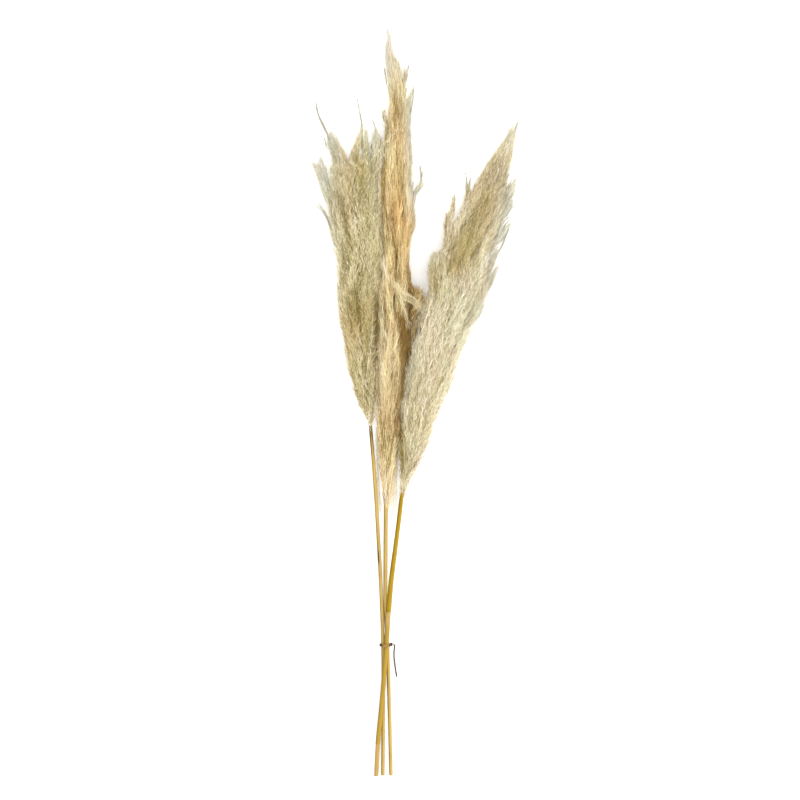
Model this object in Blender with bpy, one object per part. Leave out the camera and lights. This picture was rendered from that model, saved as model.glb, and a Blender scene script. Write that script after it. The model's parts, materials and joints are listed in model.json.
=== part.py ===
"""A tied bunch of three dried pampas grass stems, lying on a flat surface.

The stems run along +Y from their cut ends to the tips of the plumes, and +Z is up. The origin is
under the middle of the bunch, on the surface. Every table below is in millimetres, with X across the
bunch from the tie, Y from the cut ends and Z from the surface. The whole is centred at the end.
"""

import math
import random

import bmesh
import bpy
import numpy as np
from mathutils import Vector

MM = 0.001
BUNCH = "pampas_grass_bundle"
GAP = 0.3  # clearance between pieces that touch
STEM_SIDES = 10
GOLDEN_ANGLE = math.pi * (3 - math.sqrt(5))

# Stems: (x, y, z, radius) from the cut end to the foot of the plume.
STEM_LEFT = [
    (-2.9, 0, 2.5, 2.4), (-2.3, 100, 6.6, 2.4), (-2.9, 180, 10.0, 2.4), (-5.9, 264, 13.5, 2.5),
    (-8.6, 315, 15.6, 2.5), (-11.5, 368, 17.9, 2.5), (-15.4, 422, 20.1, 2.4), (-19.1, 466, 22.0, 2.3),
]
STEM_MIDDLE = [
    (8.0, 0, 2.5, 2.4), (5.6, 100, 6.6, 2.4), (4.0, 167, 9.5, 2.4), (1.3, 237, 12.4, 2.6),
    (1.3, 315, 15.6, 2.8), (1.3, 355, 17.3, 2.8),
]
STEM_RIGHT = [
    (-11.8, 0, 7.0, 3.0), (-9.6, 44, 9.3, 3.0), (-4.1, 100, 12.4, 3.0), (1.1, 167, 15.2, 3.0),
    (4.7, 221, 17.7, 3.0), (8.4, 264, 19.4, 3.0), (15.0, 315, 21.5, 3.0), (20.7, 361, 23.4, 2.9),
    (23.4, 385.5, 24.2, 2.8),
]
# A leaf sheath wraps the right stem above each of these joints: (y, extra radius).
SHEATHS = [(44.0, 0.25), (221.0, 0.3)]
SHEATH_LIP = 1.5  # the sheath's edge rises over this length
STEM_STEP = 30.0  # distance between the sections of a stem

# Plumes: axis (y, x, z), outline (y, half width, half height), both from the foot up.
# Each lead lock is (root, tip, width, count, spread): a tuft of `count` locks whose roots and tips
# lie within `spread` of each other.
PLUME_LEFT = {
    "axis": [
        (466.3, -19.1, 22.0), (502, -23.5, 24.0), (542, -27.0, 26.5), (596, -30.5, 28.0),
        (676, -34.0, 28.0), (756, -40.0, 28.0), (823, -44.5, 27.5), (856, -47.0, 27.0),
    ],
    "outline": [
        (466.3, 2.3, 2.3), (502, 14.0, 10.0), (542, 22.5, 16.5), (583, 28.0, 22.0),
        (622, 30.0, 25.0), (663, 34.0, 27.0), (703, 34.5, 27.5), (743, 39.0, 27.5),
        (783, 41.0, 26.5), (823, 38.0, 23.0), (856, 31.0, 17.0),
    ],
    "rest_from": 690,
    "rest_to": 728,
    "locks": 104,
    "leads": [
        ((-53.5, 765, 30), (-74.0, 860, 31), 5.8, 7, 9.0),
        ((-55.0, 770, 30), (-89.7, 894, 30), 3.8, 1, 0.0),
        ((-31.0, 768, 32), (-26.0, 871, 31), 5.8, 7, 7.0),
        ((-33.0, 780, 31), (-33.5, 906, 30), 3.8, 1, 0.0),
        ((-43.0, 756, 36), (-47.0, 836, 38), 5.6, 5, 7.0),
        ((-16.0, 778, 34), (-13.4, 874, 37), 5.2, 5, 5.0),
        ((-62.0, 728, 28), (-95.0, 820, 27), 5.4, 5, 7.0),
        ((-58.0, 706, 27), (-91.0, 763, 25), 3.2, 1, 0.0),
    ],
    "seed": 11,
}
PLUME_MIDDLE = {
    "axis": [
        (355.3, 1.3, 17.3), (402, 4.0, 20.0), (448, 6.7, 23.0), (502, 8.0, 26.0), (569, 9.4, 28.5),
        (636, 13.4, 29.0), (703, 14.7, 29.0), (770, 16.1, 29.0), (837, 18.1, 28.0),
        (890, 17.4, 26.5), (944, 12.0, 24.5), (971, 7.5, 23.5), (1000, 4.0, 22.0),
    ],
    "outline": [
        (355.3, 2.8, 2.8), (376, 8.0, 6.0), (402, 13.0, 9.5), (448, 18.5, 15.0),
        (502, 22.5, 20.0), (569, 24.0, 25.0), (636, 25.5, 28.0), (703, 23.0, 28.5),
        (770, 25.0, 27.0), (837, 19.5, 21.0), (890, 17.0, 16.0), (944, 11.0, 10.0),
        (971, 4.5, 5.0), (1000, 1.2, 1.2),
    ],
    "rest_from": 668,
    "rest_to": 704,
    "locks": 112,
    "leads": [
        ((12.0, 905, 27), (4.0, 1000, 23), 4.0, 1, 0.0),
        ((16.0, 880, 27), (20.5, 957, 26), 5.0, 3, 3.5),
        ((20.0, 868, 28), (29.5, 946, 27), 4.2, 2, 2.5),
        ((27.0, 820, 30), (37.5, 919, 29), 4.6, 3, 3.0),
        ((8.0, 820, 29), (-1.3, 884, 28), 3.6, 2, 2.0),
        ((26.0, 716, 31), (49.5, 808, 30), 4.4, 3, 4.0),
    ],
    "seed": 23,
}
PLUME_RIGHT = {
    "axis": [
        (385.8, 23.4, 24.2), (446, 41.5, 27.0), (490, 48.9, 29.0), (535, 57.6, 30.0),
        (582, 72.3, 30.0), (622, 86.3, 29.5), (663, 97.1, 29.0), (703, 106.5, 29.0),
        (743, 121.8, 28.5), (783, 139.5, 28.0), (823, 153.0, 27.0), (863, 168.7, 26.0),
        (874, 173.0, 25.5),
    ],
    "outline": [
        (385.8, 3.0, 3.0), (446, 20.5, 14.5), (490, 31.0, 21.0), (535, 39.5, 26.0),
        (582, 44.0, 28.0), (622, 45.0, 28.5), (663, 44.0, 28.5), (703, 41.5, 28.0),
        (743, 38.5, 26.0), (783, 28.5, 21.0), (823, 16.0, 13.5), (863, 5.5, 5.5),
        (874, 2.0, 2.0),
    ],
    "rest_from": 640,
    "rest_to": 680,
    "locks": 128,
    "leads": [
        ((153.0, 790, 28), (176.5, 874, 26), 4.0, 1, 0.0),
        ((148.0, 780, 29), (164.7, 863, 27), 4.2, 2, 2.0),
        ((146.0, 728, 29), (171.0, 799, 28), 4.6, 3, 3.5),
        ((140.0, 676, 28), (169.5, 740, 27), 4.4, 2, 3.0),
        ((126.0, 632, 28), (152.6, 696, 27), 4.4, 3, 5.0),
        ((108.0, 720, 31), (109.5, 800, 31), 4.6, 3, 3.0),
        ((100.0, 708, 30), (93.7, 772, 30), 3.2, 1, 0.0),
        ((90.0, 684, 31), (77.0, 750, 31), 4.4, 2, 3.0),
        ((84.0, 632, 31), (64.0, 699, 32), 5.2, 5, 7.0),
        ((58.0, 572, 32), (48.0, 642, 32), 5.4, 5, 7.0),
    ],
    "seed": 37,
}
FOOT_LENGTH = 60.0  # the core fills the whole plume at its foot, and its own share past this
CORE_SHARE = 0.62  # the core's part of the plume's width and height
CORE_TOP = 0.84  # the core's last section is at this part of the plume's length
CORE_TIP = 22.0  # and its tip is this far past it
CORE_SIDES = 10
CORE_SECTIONS = 11
CORE_MARGIN = 0.5  # the core's clearance over the surface and off the seams
LOCK_FIRST = 4.0  # the first lock's root, above the foot
LOCK_LAST = 0.86  # the last lock's root, as a part of the plume's length
LOCK_BASE_DENSITY = 8.0  # with the outline's width and height, gives how many locks grow there
LOCK_LENGTH = (62.0, 104.0)
LOCK_WIDTH = (4.8, 7.0)
LOCK_SHORT = (2.0, 34.0)  # a lock that would pass the plume's top ends this much below it
LOCK_STATIONS = (0.0, 0.34, 0.7, 1.0)  # along a lock, from its root to its tip
LOCK_SHARES = (0.34, 0.74, 0.93)  # how far out of the plume the lock lies at all but the last
LOCK_REACH = (0.94, 1.12)
LOCK_TAPER = (0.6, 1.0, 0.72)
LOCK_TURN = 0.25  # radians that a lock strays from the golden angle, and twists on its way
LOCK_AT_FOOT = 0.62  # a lock at the foot is this part of the full length
YOUNG_LENGTH = 90.0  # and they reach it this far above the foot
LOCK_HEIGHT = 0.7  # a lock's ridge stands up this part of its half width
LOCK_KEEL = 0.42  # and its sides lie this part of it below its middle
LEAST_SECTION = 1.1
TIP_RADIUS = 0.3
# In a lead tuft, roots spread and fall back by these parts of its spread, and so do tips.
LEAD_ROOT = (1.3, 2.0)
LEAD_TIP = (0.8, 2.6)
LEAD_BOW = 0.03  # how far a lead lock bows outwards, as a part of its length

# Neighbouring plumes meet at two leaning surfaces, x = offset + LEAN * (LEAN_LEVEL - z), with the
# offsets given along Y. The right plume overhangs the middle one, which overhangs the left one.
LEAN = 0.36
LEAN_LEVEL = 45.0
SEAM_LEFT = [
    (355, -24.0), (400, -24.0), (448, -20.0), (475, -17.0), (520, -11.5), (569, -8.5),
    (700, -7.5), (1000, -7.5),
]
SEAM_RIGHT = [(355, 6.0), (385, 9.4), (636, 36.1), (770, 45.0), (1000, 60.0)]
SEAM_MARGIN = 0.4

# The tie: two turns of twine round the stems, with a knot on the right.
TIE_Y = 176.0
TWINE_RADIUS = 0.9
TIE_PITCH = 1.5  # distance between the turns
LOOP_POINTS = 32
TWINE_SIDES = 6
KNOT = (8.4, 176.8, 10.4)
KNOT_RADII = (1.9, 2.2, 1.9)
# The free end's route, from the knot to the surface and along it.
TAIL_ROUTE = [
    (11.2, 176.7, 10.4), (12.3, 176.1, 10.3), (12.9, 173.6, 9.7), (12.4, 169.5, 8.2),
    (12.0, 165.0, 6.5), (12.0, 160.0, 4.6), (12.4, 155.0, 2.8), (13.0, 150.0, 1.5),
    (13.7, 145.0, 1.0), (14.4, 140.0, 0.95), (15.1, 135.5, 0.95), (15.6, 132.0, 0.95),
]
TAIL_POINTS = 24


# --- Curves through tables -------------------------------------------------------------------


def slopes(keys, values):
    """Slopes that make a smooth curve through the values, flat at each turning point."""
    steps = np.diff(values, axis=0) / np.diff(keys)[:, None]
    inner = 0.5 * (steps[1:] + steps[:-1]) * (steps[1:] * steps[:-1] > 0)
    return np.vstack([steps[:1], inner, steps[-1:]])


class Curve:
    """A smooth curve through rows of (key, value, value, ...)."""

    def __init__(self, rows):
        table = np.array(rows, float)
        self.keys = table[:, 0]
        self.values = table[:, 1:]
        self.slopes = slopes(self.keys, self.values)

    def __call__(self, key):
        key = min(max(key, self.keys[0]), self.keys[-1])
        i = int(min(max(np.searchsorted(self.keys, key) - 1, 0), len(self.keys) - 2))
        span = self.keys[i + 1] - self.keys[i]
        t = (key - self.keys[i]) / span
        left = (1 + 2 * t) * (1 - t) ** 2 * self.values[i] + t * (1 - t) ** 2 * span * self.slopes[i]
        right = (3 - 2 * t) * t * t * self.values[i + 1] - (1 - t) * t * t * span * self.slopes[i + 1]
        return left + right


def arc_curve(points):
    """A Curve through points, keyed by the distance along them."""
    table = np.array(points, float)
    steps = np.linalg.norm(np.diff(table[:, :3], axis=0), axis=1)
    return Curve(np.column_stack([np.concatenate([[0.0], np.cumsum(steps)]), table]))


# --- Blender helpers -------------------------------------------------------------------------


def clear_scene():
    for obj in list(bpy.data.objects):
        bpy.data.objects.remove(obj, do_unlink=True)


def new_collection(name):
    collection = bpy.data.collections.new(name)
    bpy.context.scene.collection.children.link(collection)
    return collection


def material(name, color, roughness):
    made = bpy.data.materials.new(name)
    made.use_nodes = True
    shader = made.node_tree.nodes["Principled BSDF"]
    shader.inputs["Base Color"].default_value = (*color, 1.0)
    shader.inputs["Roughness"].default_value = roughness
    shader.inputs["Metallic"].default_value = 0.0
    return made


def add_mesh(name, mesh, collection):
    """The bmesh as a new object in the collection."""
    data = bpy.data.meshes.new(name)
    mesh.to_mesh(data)
    mesh.free()
    obj = bpy.data.objects.new(name, data)
    collection.objects.link(obj)
    return obj


def loft(name, rings, collection, tip=None):
    """A closed body through rings of points in millimetres, closed flat or in a tip at its far end."""
    mesh = bmesh.new()
    made = [[mesh.verts.new(Vector(point) * MM) for point in ring] for ring in rings]
    sides = len(rings[0])
    for low, high in zip(made, made[1:]):
        for i in range(sides):
            j = (i + 1) % sides
            mesh.faces.new((low[i], low[j], high[j], high[i]))
    mesh.faces.new(tuple(reversed(made[0])))
    if tip is None:
        mesh.faces.new(tuple(made[-1]))
    else:
        apex = mesh.verts.new(Vector(tip) * MM)
        for i in range(sides):
            mesh.faces.new((made[-1][i], made[-1][(i + 1) % sides], apex))
    bmesh.ops.triangulate(mesh, faces=mesh.faces[:])
    bmesh.ops.recalc_face_normals(mesh, faces=mesh.faces[:])
    return add_mesh(name, mesh, collection)


def keep_largest_shell(data):
    """Drops every closed surface but the largest: hollows that fusing sealed, and loose scraps."""
    mesh = bmesh.new()
    mesh.from_mesh(data)
    unseen = set(mesh.faces)
    shells = []
    while unseen:
        shell = set()
        edge = [unseen.pop()]
        while edge:
            face = edge.pop()
            shell.add(face)
            near = {other for side in face.edges for other in side.link_faces} & unseen
            unseen -= near
            edge.extend(near)
        shells.append(shell)
    shells.sort(key=len)
    dropped = [face for shell in shells[:-1] for face in shell]
    bmesh.ops.delete(mesh, geom=dropped, context="FACES")
    mesh.to_mesh(data)
    mesh.free()


def fuse(body, pieces):
    """Unites the collection's objects with the body, then removes them."""
    union = body.modifiers.new("fuse", "BOOLEAN")
    union.operation = "UNION"
    union.operand_type = "COLLECTION"
    union.collection = pieces
    union.solver = "MANIFOLD"
    bpy.context.view_layer.update()
    graph = bpy.context.evaluated_depsgraph_get()
    fused = bpy.data.meshes.new_from_object(body.evaluated_get(graph))
    body.modifiers.clear()
    keep_largest_shell(fused)
    old = body.data
    body.data = fused
    bpy.data.meshes.remove(old)
    for piece in list(pieces.objects):
        bpy.data.objects.remove(piece, do_unlink=True)
    bpy.data.collections.remove(pieces)


def finish(obj, finish_material, smooth_angle):
    obj.data.materials.clear()
    obj.data.materials.append(finish_material)
    obj.data.shade_smooth()
    obj.data.set_sharp_from_angle(angle=math.radians(smooth_angle))
    return obj


# --- Stems -----------------------------------------------------------------------------------


def stem(name, path, sheaths, collection, finish_material):
    """A round stem through its table, a little thicker above each sheath's edge."""
    axis = Curve([(y, x, z, radius) for x, y, z, radius in path])
    first, last = path[0][1], path[-1][1]
    stations = list(np.linspace(first, last, 1 + round((last - first) / STEM_STEP)))
    for edge, _ in sheaths:
        stations = [y for y in stations if abs(y - edge) > 4 * SHEATH_LIP]
        stations += [edge, edge + SHEATH_LIP]
    rings = []
    for y in sorted(stations):
        x, z, radius = axis(y)
        radius += sum(extra for edge, extra in sheaths if y > edge)
        turns = [2 * math.pi * i / STEM_SIDES for i in range(STEM_SIDES)]
        rings.append([(x + radius * math.cos(a), y, z + radius * math.sin(a)) for a in turns])
    return finish(loft(name, rings, collection), finish_material, 50)


# --- Plumes ----------------------------------------------------------------------------------


class Plume:
    """One plume's axis, outline and the sides on which it meets its neighbours."""

    def __init__(self, table, seam_below=None, seam_above=None):
        self.table = table
        self.axis = Curve(table["axis"])
        self.outline = Curve(table["outline"])
        self.foot = table["axis"][0][0]
        self.top = table["axis"][-1][0]
        self.seam_below = Curve(seam_below) if seam_below else None
        self.seam_above = Curve(seam_above) if seam_above else None
        self.random = random.Random(table["seed"])

    def clear(self, x, y, z, radius):
        """The point moved so that a section of this radius is over the surface and in its own space."""
        z = max(z, radius)
        lean = LEAN * (LEAN_LEVEL - z)
        room = SEAM_MARGIN + radius * (1 + LEAN)
        if self.seam_below:
            x = max(x, float(self.seam_below(y)[0]) + lean + room)
        if self.seam_above:
            x = min(x, float(self.seam_above(y)[0]) + lean - room)
        return x, y, z

    def at(self, y, share, turn):
        """The point at this share of the outline, turned round the axis from +X."""
        x, z = self.axis(y)
        half_width, half_height = self.outline(y)
        return (
            x + share * half_width * math.cos(turn),
            y,
            z + share * half_height * math.sin(turn),
        )


def core(name, plume, collection):
    """The dense middle of the plume round its rachis, pressed flat where the plume lies."""
    end = plume.foot + CORE_TOP * (plume.top - plume.foot)
    rest_from, rest_to = plume.table["rest_from"], plume.table["rest_to"]
    stations = list(np.linspace(plume.foot, end, CORE_SECTIONS))
    gap = 0.5 * (stations[1] - stations[0])
    stations = [y for y in stations if abs(y - rest_from) > gap and abs(y - rest_to) > gap]
    stations += [rest_from, rest_to]
    rings = []
    for y in sorted(stations):
        near_foot = max(0.0, 1 - (y - plume.foot) / FOOT_LENGTH)
        share = CORE_SHARE + (1 - CORE_SHARE) * near_foot
        ring = []
        for i in range(CORE_SIDES):
            turn = math.radians(-90) + 2 * math.pi * (i + 0.5) / CORE_SIDES
            x, _, z = plume.clear(*plume.at(y, share, turn), CORE_MARGIN)
            lowest = i in (0, CORE_SIDES - 1)
            if lowest and rest_from <= y <= rest_to:
                z = 0.0
            ring.append((x, y, z))
        rings.append(ring)
    x, z = plume.axis(end + CORE_TIP)
    return loft(name, rings, collection, tip=(x, end + CORE_TIP, z))


def lock_body(name, spine, outward, width, plume, pieces):
    """A three-sided lock along its spine of points, ending in the last one."""
    rings = []
    for (x, y, z), taper in zip(spine, LOCK_TAPER):
        half = max(0.5 * width * taper, LEAST_SECTION)
        x, y, z = plume.clear(x, y, z, half)
        across = Vector((0, 1, 0)).cross(outward).normalized() * half
        centre = Vector((x, y, z))
        back = centre - LOCK_KEEL * half * outward
        rings.append([centre + LOCK_HEIGHT * half * outward, back - across, back + across])
    loft(name, rings, pieces, tip=plume.clear(*spine[-1], TIP_RADIUS))


def scattered_locks(plume, pieces):
    """Locks set round the plume by the golden angle, denser where it is broader."""
    plume_length = plume.top - plume.foot
    rows = np.linspace(plume.foot + LOCK_FIRST, plume.foot + LOCK_LAST * plume_length, 200)
    weight = np.cumsum([LOCK_BASE_DENSITY + sum(plume.outline(y)) for y in rows])
    count = plume.table["locks"]
    for i in range(count):
        y = float(np.interp((i + 0.5) / count, weight / weight[-1], rows))
        turn = i * GOLDEN_ANGLE + plume.random.uniform(-LOCK_TURN, LOCK_TURN)
        grown = LOCK_AT_FOOT + (1 - LOCK_AT_FOOT) * min(1.0, (y - plume.foot) / YOUNG_LENGTH)
        length = plume.random.uniform(*LOCK_LENGTH) * grown
        length = min(length, plume.top - y - plume.random.uniform(*LOCK_SHORT))
        reach = plume.random.uniform(*LOCK_REACH)
        width = plume.random.uniform(*LOCK_WIDTH)
        twist = plume.random.uniform(-LOCK_TURN, LOCK_TURN)
        shares = (*LOCK_SHARES, reach)
        spine = [
            plume.at(y + s * length, share, turn + twist * s)
            for s, share in zip(LOCK_STATIONS, shares)
        ]
        outward = Vector((math.cos(turn), 0, math.sin(turn)))
        lock_body(f"lock{i}", spine, outward, width, plume, pieces)


def lead_locks(plume, pieces):
    """The tufts and single long racemes that stand out of the plume's outline."""
    for n, (root, tip, width, count, spread) in enumerate(plume.table["leads"]):
        for i in range(count):
            turn = i * GOLDEN_ANGLE
            offset = spread * math.sqrt(i / count)
            shift = Vector((offset * math.cos(turn), 0, offset * math.sin(turn)))
            start = Vector(root) + LEAD_ROOT[0] * shift + Vector((0, -LEAD_ROOT[1] * offset, 0))
            end = Vector(tip) + LEAD_TIP[0] * shift + Vector((0, -LEAD_TIP[1] * offset, 0))
            side = -1 if end.x < start.x else 1
            bow = Vector((side * LEAD_BOW * (end - start).length, 0, 0))
            spine = [start.lerp(end, s) - bow * math.sin(math.pi * s) for s in LOCK_STATIONS]
            outward = Vector((math.cos(turn), 0, 1)).normalized()
            lock_body(f"lead{n}_{i}", spine, outward, width, plume, pieces)


def plume_node(name, table, collection, finish_material, **seams):
    plume = Plume(table, **seams)
    body = core(name, plume, collection)
    pieces = new_collection(name + "_locks")
    scattered_locks(plume, pieces)
    lead_locks(plume, pieces)
    fuse(body, pieces)
    return finish(body, finish_material, 60)


# --- The tie ---------------------------------------------------------------------------------


def outline_round(circles, clearance):
    """Points of a taut loop round circles of (x, z, radius), kept off them by the clearance."""
    points = []
    for i in range(LOOP_POINTS):
        turn = 2 * math.pi * i / LOOP_POINTS
        ray = np.array([math.cos(turn), math.sin(turn)])
        best = max(circles, key=lambda c: ray @ np.array(c[:2]) + c[2])
        points.append(tuple(np.array(best[:2]) + (best[2] + clearance) * ray))
    return points


def twine_turn(name, loop, y, collection):
    """One closed turn of twine along the loop of (x, z), at this place along the stems."""
    mesh = bmesh.new()
    middle = np.mean(loop, axis=0)
    rings = []
    for point in loop:
        out = np.array(point) - middle
        out /= np.linalg.norm(out)
        ring = []
        for i in range(TWINE_SIDES):
            angle = 2 * math.pi * i / TWINE_SIDES
            x, z = point + TWINE_RADIUS * math.cos(angle) * out
            along = TWINE_RADIUS * math.sin(angle)
            ring.append(mesh.verts.new(Vector((x, y + along, z)) * MM))
        rings.append(ring)
    for a, b in zip(rings, rings[1:] + rings[:1]):
        for i in range(TWINE_SIDES):
            j = (i + 1) % TWINE_SIDES
            mesh.faces.new((a[i], a[j], b[j], b[i]))
    bmesh.ops.recalc_face_normals(mesh, faces=mesh.faces[:])
    return add_mesh(name, mesh, collection)


def tie(name, stems, collection, finish_material):
    """Two turns of twine round the stems, with the knot fused on."""
    circles = []
    for path in stems:
        x, z, radius = Curve([(y, x, z, radius) for x, y, z, radius in path])(TIE_Y)
        circles.append((x, z, radius + (SHEATHS[0][1] if path is STEM_RIGHT else 0.0)))
    loop = outline_round(circles, TWINE_RADIUS + GAP)
    body = twine_turn(name, loop, TIE_Y - TIE_PITCH / 2, collection)
    pieces = new_collection(name + "_pieces")
    twine_turn("second_turn", loop, TIE_Y + TIE_PITCH / 2, pieces)
    mesh = bmesh.new()
    bmesh.ops.create_uvsphere(mesh, u_segments=12, v_segments=8, radius=1.0)
    bmesh.ops.scale(mesh, vec=Vector(KNOT_RADII) * MM, verts=mesh.verts)
    bmesh.ops.translate(mesh, vec=Vector(KNOT) * MM, verts=mesh.verts)
    add_mesh("knot", mesh, pieces)
    fuse(body, pieces)
    return finish(body, finish_material, 50)


def tie_tail(name, collection, finish_material):
    """The free end of the twine, a tube on a smooth curve through its route."""
    route = arc_curve(TAIL_ROUTE)
    data = bpy.data.curves.new(name, "CURVE")
    data.dimensions = "3D"
    data.bevel_depth = TWINE_RADIUS * MM
    data.bevel_resolution = 2
    data.use_fill_caps = True
    spline = data.splines.new("POLY")
    spline.points.add(TAIL_POINTS - 1)
    for point, key in zip(spline.points, np.linspace(0, route.keys[-1], TAIL_POINTS)):
        point.co = (*(Vector(route(key)) * MM), 1.0)
    obj = bpy.data.objects.new(name, data)
    collection.objects.link(obj)
    data.materials.append(finish_material)
    return obj


# --- The bunch -------------------------------------------------------------------------------


def centre_on_footprint(objects, measured):
    """Parents the objects to an empty that puts the middle of the measured ones over the origin."""
    bpy.context.view_layer.update()
    corners = np.array([obj.matrix_world @ Vector(c) for obj in measured for c in obj.bound_box])
    middle = (corners.min(axis=0) + corners.max(axis=0)) / 2
    empty = bpy.data.objects.new(BUNCH + "_origin", None)
    bpy.context.scene.collection.objects.link(empty)
    empty.location = (-middle[0], -middle[1], 0)
    for obj in objects:
        obj.parent = empty


def main():
    clear_scene()
    bunch = new_collection(BUNCH)
    khaki = material("khaki_plume", (0.50, 0.40, 0.18), 0.9)
    golden = material("golden_plume", (0.62, 0.44, 0.19), 0.9)
    cream = material("cream_plume", (0.68, 0.60, 0.38), 0.9)
    straw = material("straw_stem", (0.65, 0.50, 0.24), 0.5)
    sheath = material("golden_sheath", (0.58, 0.38, 0.06), 0.42)
    jute = material("jute_twine", (0.25, 0.17, 0.12), 0.9)

    plumes = [
        plume_node("plume_left", PLUME_LEFT, bunch, khaki, seam_above=SEAM_LEFT),
        plume_node(
            "plume_middle", PLUME_MIDDLE, bunch, golden,
            seam_below=SEAM_LEFT, seam_above=SEAM_RIGHT,
        ),
        plume_node("plume_right", PLUME_RIGHT, bunch, cream, seam_below=SEAM_RIGHT),
    ]
    stems = [
        stem("stem_left", STEM_LEFT, [], bunch, straw),
        stem("stem_middle", STEM_MIDDLE, [], bunch, straw),
        stem("stem_right", STEM_RIGHT, SHEATHS, bunch, sheath),
    ]
    wound = tie("tie", [STEM_LEFT, STEM_MIDDLE, STEM_RIGHT], bunch, jute)
    tail = tie_tail("tie_tail", bunch, jute)
    measured = [*plumes, *stems, wound]
    centre_on_footprint([*measured, tail], measured)


if __name__ == "__main__":
    main()
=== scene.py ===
"""A bundle of dried pampas grass lying on a floor: three plumes on stems that are tied with twine.

The file is laid out as a Blender add-on and run as a script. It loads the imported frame, then its
operators build the stage, the twine, the stems and the plumes over it. The tables are in
millimetres, with Y along the bunch from its cut ends and Z up from the floor; points become metres,
and are moved to the frame's own place, only when a mesh is made.
"""

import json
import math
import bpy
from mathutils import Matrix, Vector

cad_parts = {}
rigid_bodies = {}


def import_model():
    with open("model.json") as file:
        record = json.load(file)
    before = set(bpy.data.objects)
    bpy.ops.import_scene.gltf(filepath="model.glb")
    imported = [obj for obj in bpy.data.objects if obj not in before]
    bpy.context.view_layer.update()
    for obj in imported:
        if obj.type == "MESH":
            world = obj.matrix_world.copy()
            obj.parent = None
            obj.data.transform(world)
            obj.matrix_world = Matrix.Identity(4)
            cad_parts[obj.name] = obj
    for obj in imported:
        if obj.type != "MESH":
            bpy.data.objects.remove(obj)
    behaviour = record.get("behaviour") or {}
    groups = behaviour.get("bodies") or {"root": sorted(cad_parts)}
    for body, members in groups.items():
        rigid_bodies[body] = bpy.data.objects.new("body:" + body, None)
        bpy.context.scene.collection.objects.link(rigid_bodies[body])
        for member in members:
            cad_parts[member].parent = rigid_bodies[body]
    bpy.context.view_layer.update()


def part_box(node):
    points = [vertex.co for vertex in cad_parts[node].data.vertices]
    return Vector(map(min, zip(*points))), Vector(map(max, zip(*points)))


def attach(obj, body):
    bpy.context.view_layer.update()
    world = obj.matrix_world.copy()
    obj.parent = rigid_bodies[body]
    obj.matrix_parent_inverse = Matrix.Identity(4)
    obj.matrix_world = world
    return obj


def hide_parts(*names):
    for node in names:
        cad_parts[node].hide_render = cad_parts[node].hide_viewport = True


bl_info = {
    "name": "Pampas Grass Bundle",
    "version": (1, 0, 0),
    "blender": (4, 5, 0),
    "location": "View3D > Sidebar > Pampas",
    "description": "Builds three dried pampas plumes on tied stems over a packed frame",
    "category": "Add Mesh",
}

from typing import NamedTuple

import bmesh
import bpy
import numpy as np
from mathutils import Vector

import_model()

MM = 0.001
GOLDEN_ANGLE = math.radians(137.508)
# The tables' origin in the frame: the cut ends are at its lowest Y, and the middle stem's thickest
# side is at this X of the tables.
STEM_MIDDLE_SIDE = 10.4
ORIGIN = Vector(
    (
        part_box("stem_middle")[1].x - STEM_MIDDLE_SIDE * MM,
        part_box("stem_left")[0].y,
        0.0,
    )
)

# --- Tables ----------------------------------------------------------------------------------

# Stems: (x, y, z, radius) along the middle of each.
STEM_LEFT = [
    (-2.9, 0, 2.5, 2.4), (-2.3, 100, 6.6, 2.4), (-2.9, 180, 10.0, 2.4), (-5.9, 264, 13.5, 2.5),
    (-8.6, 315, 15.6, 2.5), (-11.5, 368, 17.9, 2.5), (-15.4, 422, 20.1, 2.4),
    (-19.1, 466, 22.0, 2.3),
]
STEM_MIDDLE = [
    (8.0, 0, 2.5, 2.4), (5.6, 100, 6.6, 2.4), (3.7, 167, 9.5, 2.4), (0.5, 237, 12.4, 2.6),
    (0.9, 315, 15.6, 2.8), (1.3, 355, 17.3, 2.8),
]
STEM_RIGHT = [
    (-11.8, 0, 7.0, 3.0), (-9.6, 44, 9.3, 3.0), (-4.1, 100, 12.4, 3.0), (1.1, 167, 15.2, 3.0),
    (4.7, 221, 17.7, 2.9), (8.4, 264, 19.4, 2.7), (15.0, 315, 21.5, 2.4), (20.7, 361, 23.4, 2.3),
    (23.4, 385.5, 24.2, 2.0),
]

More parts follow.
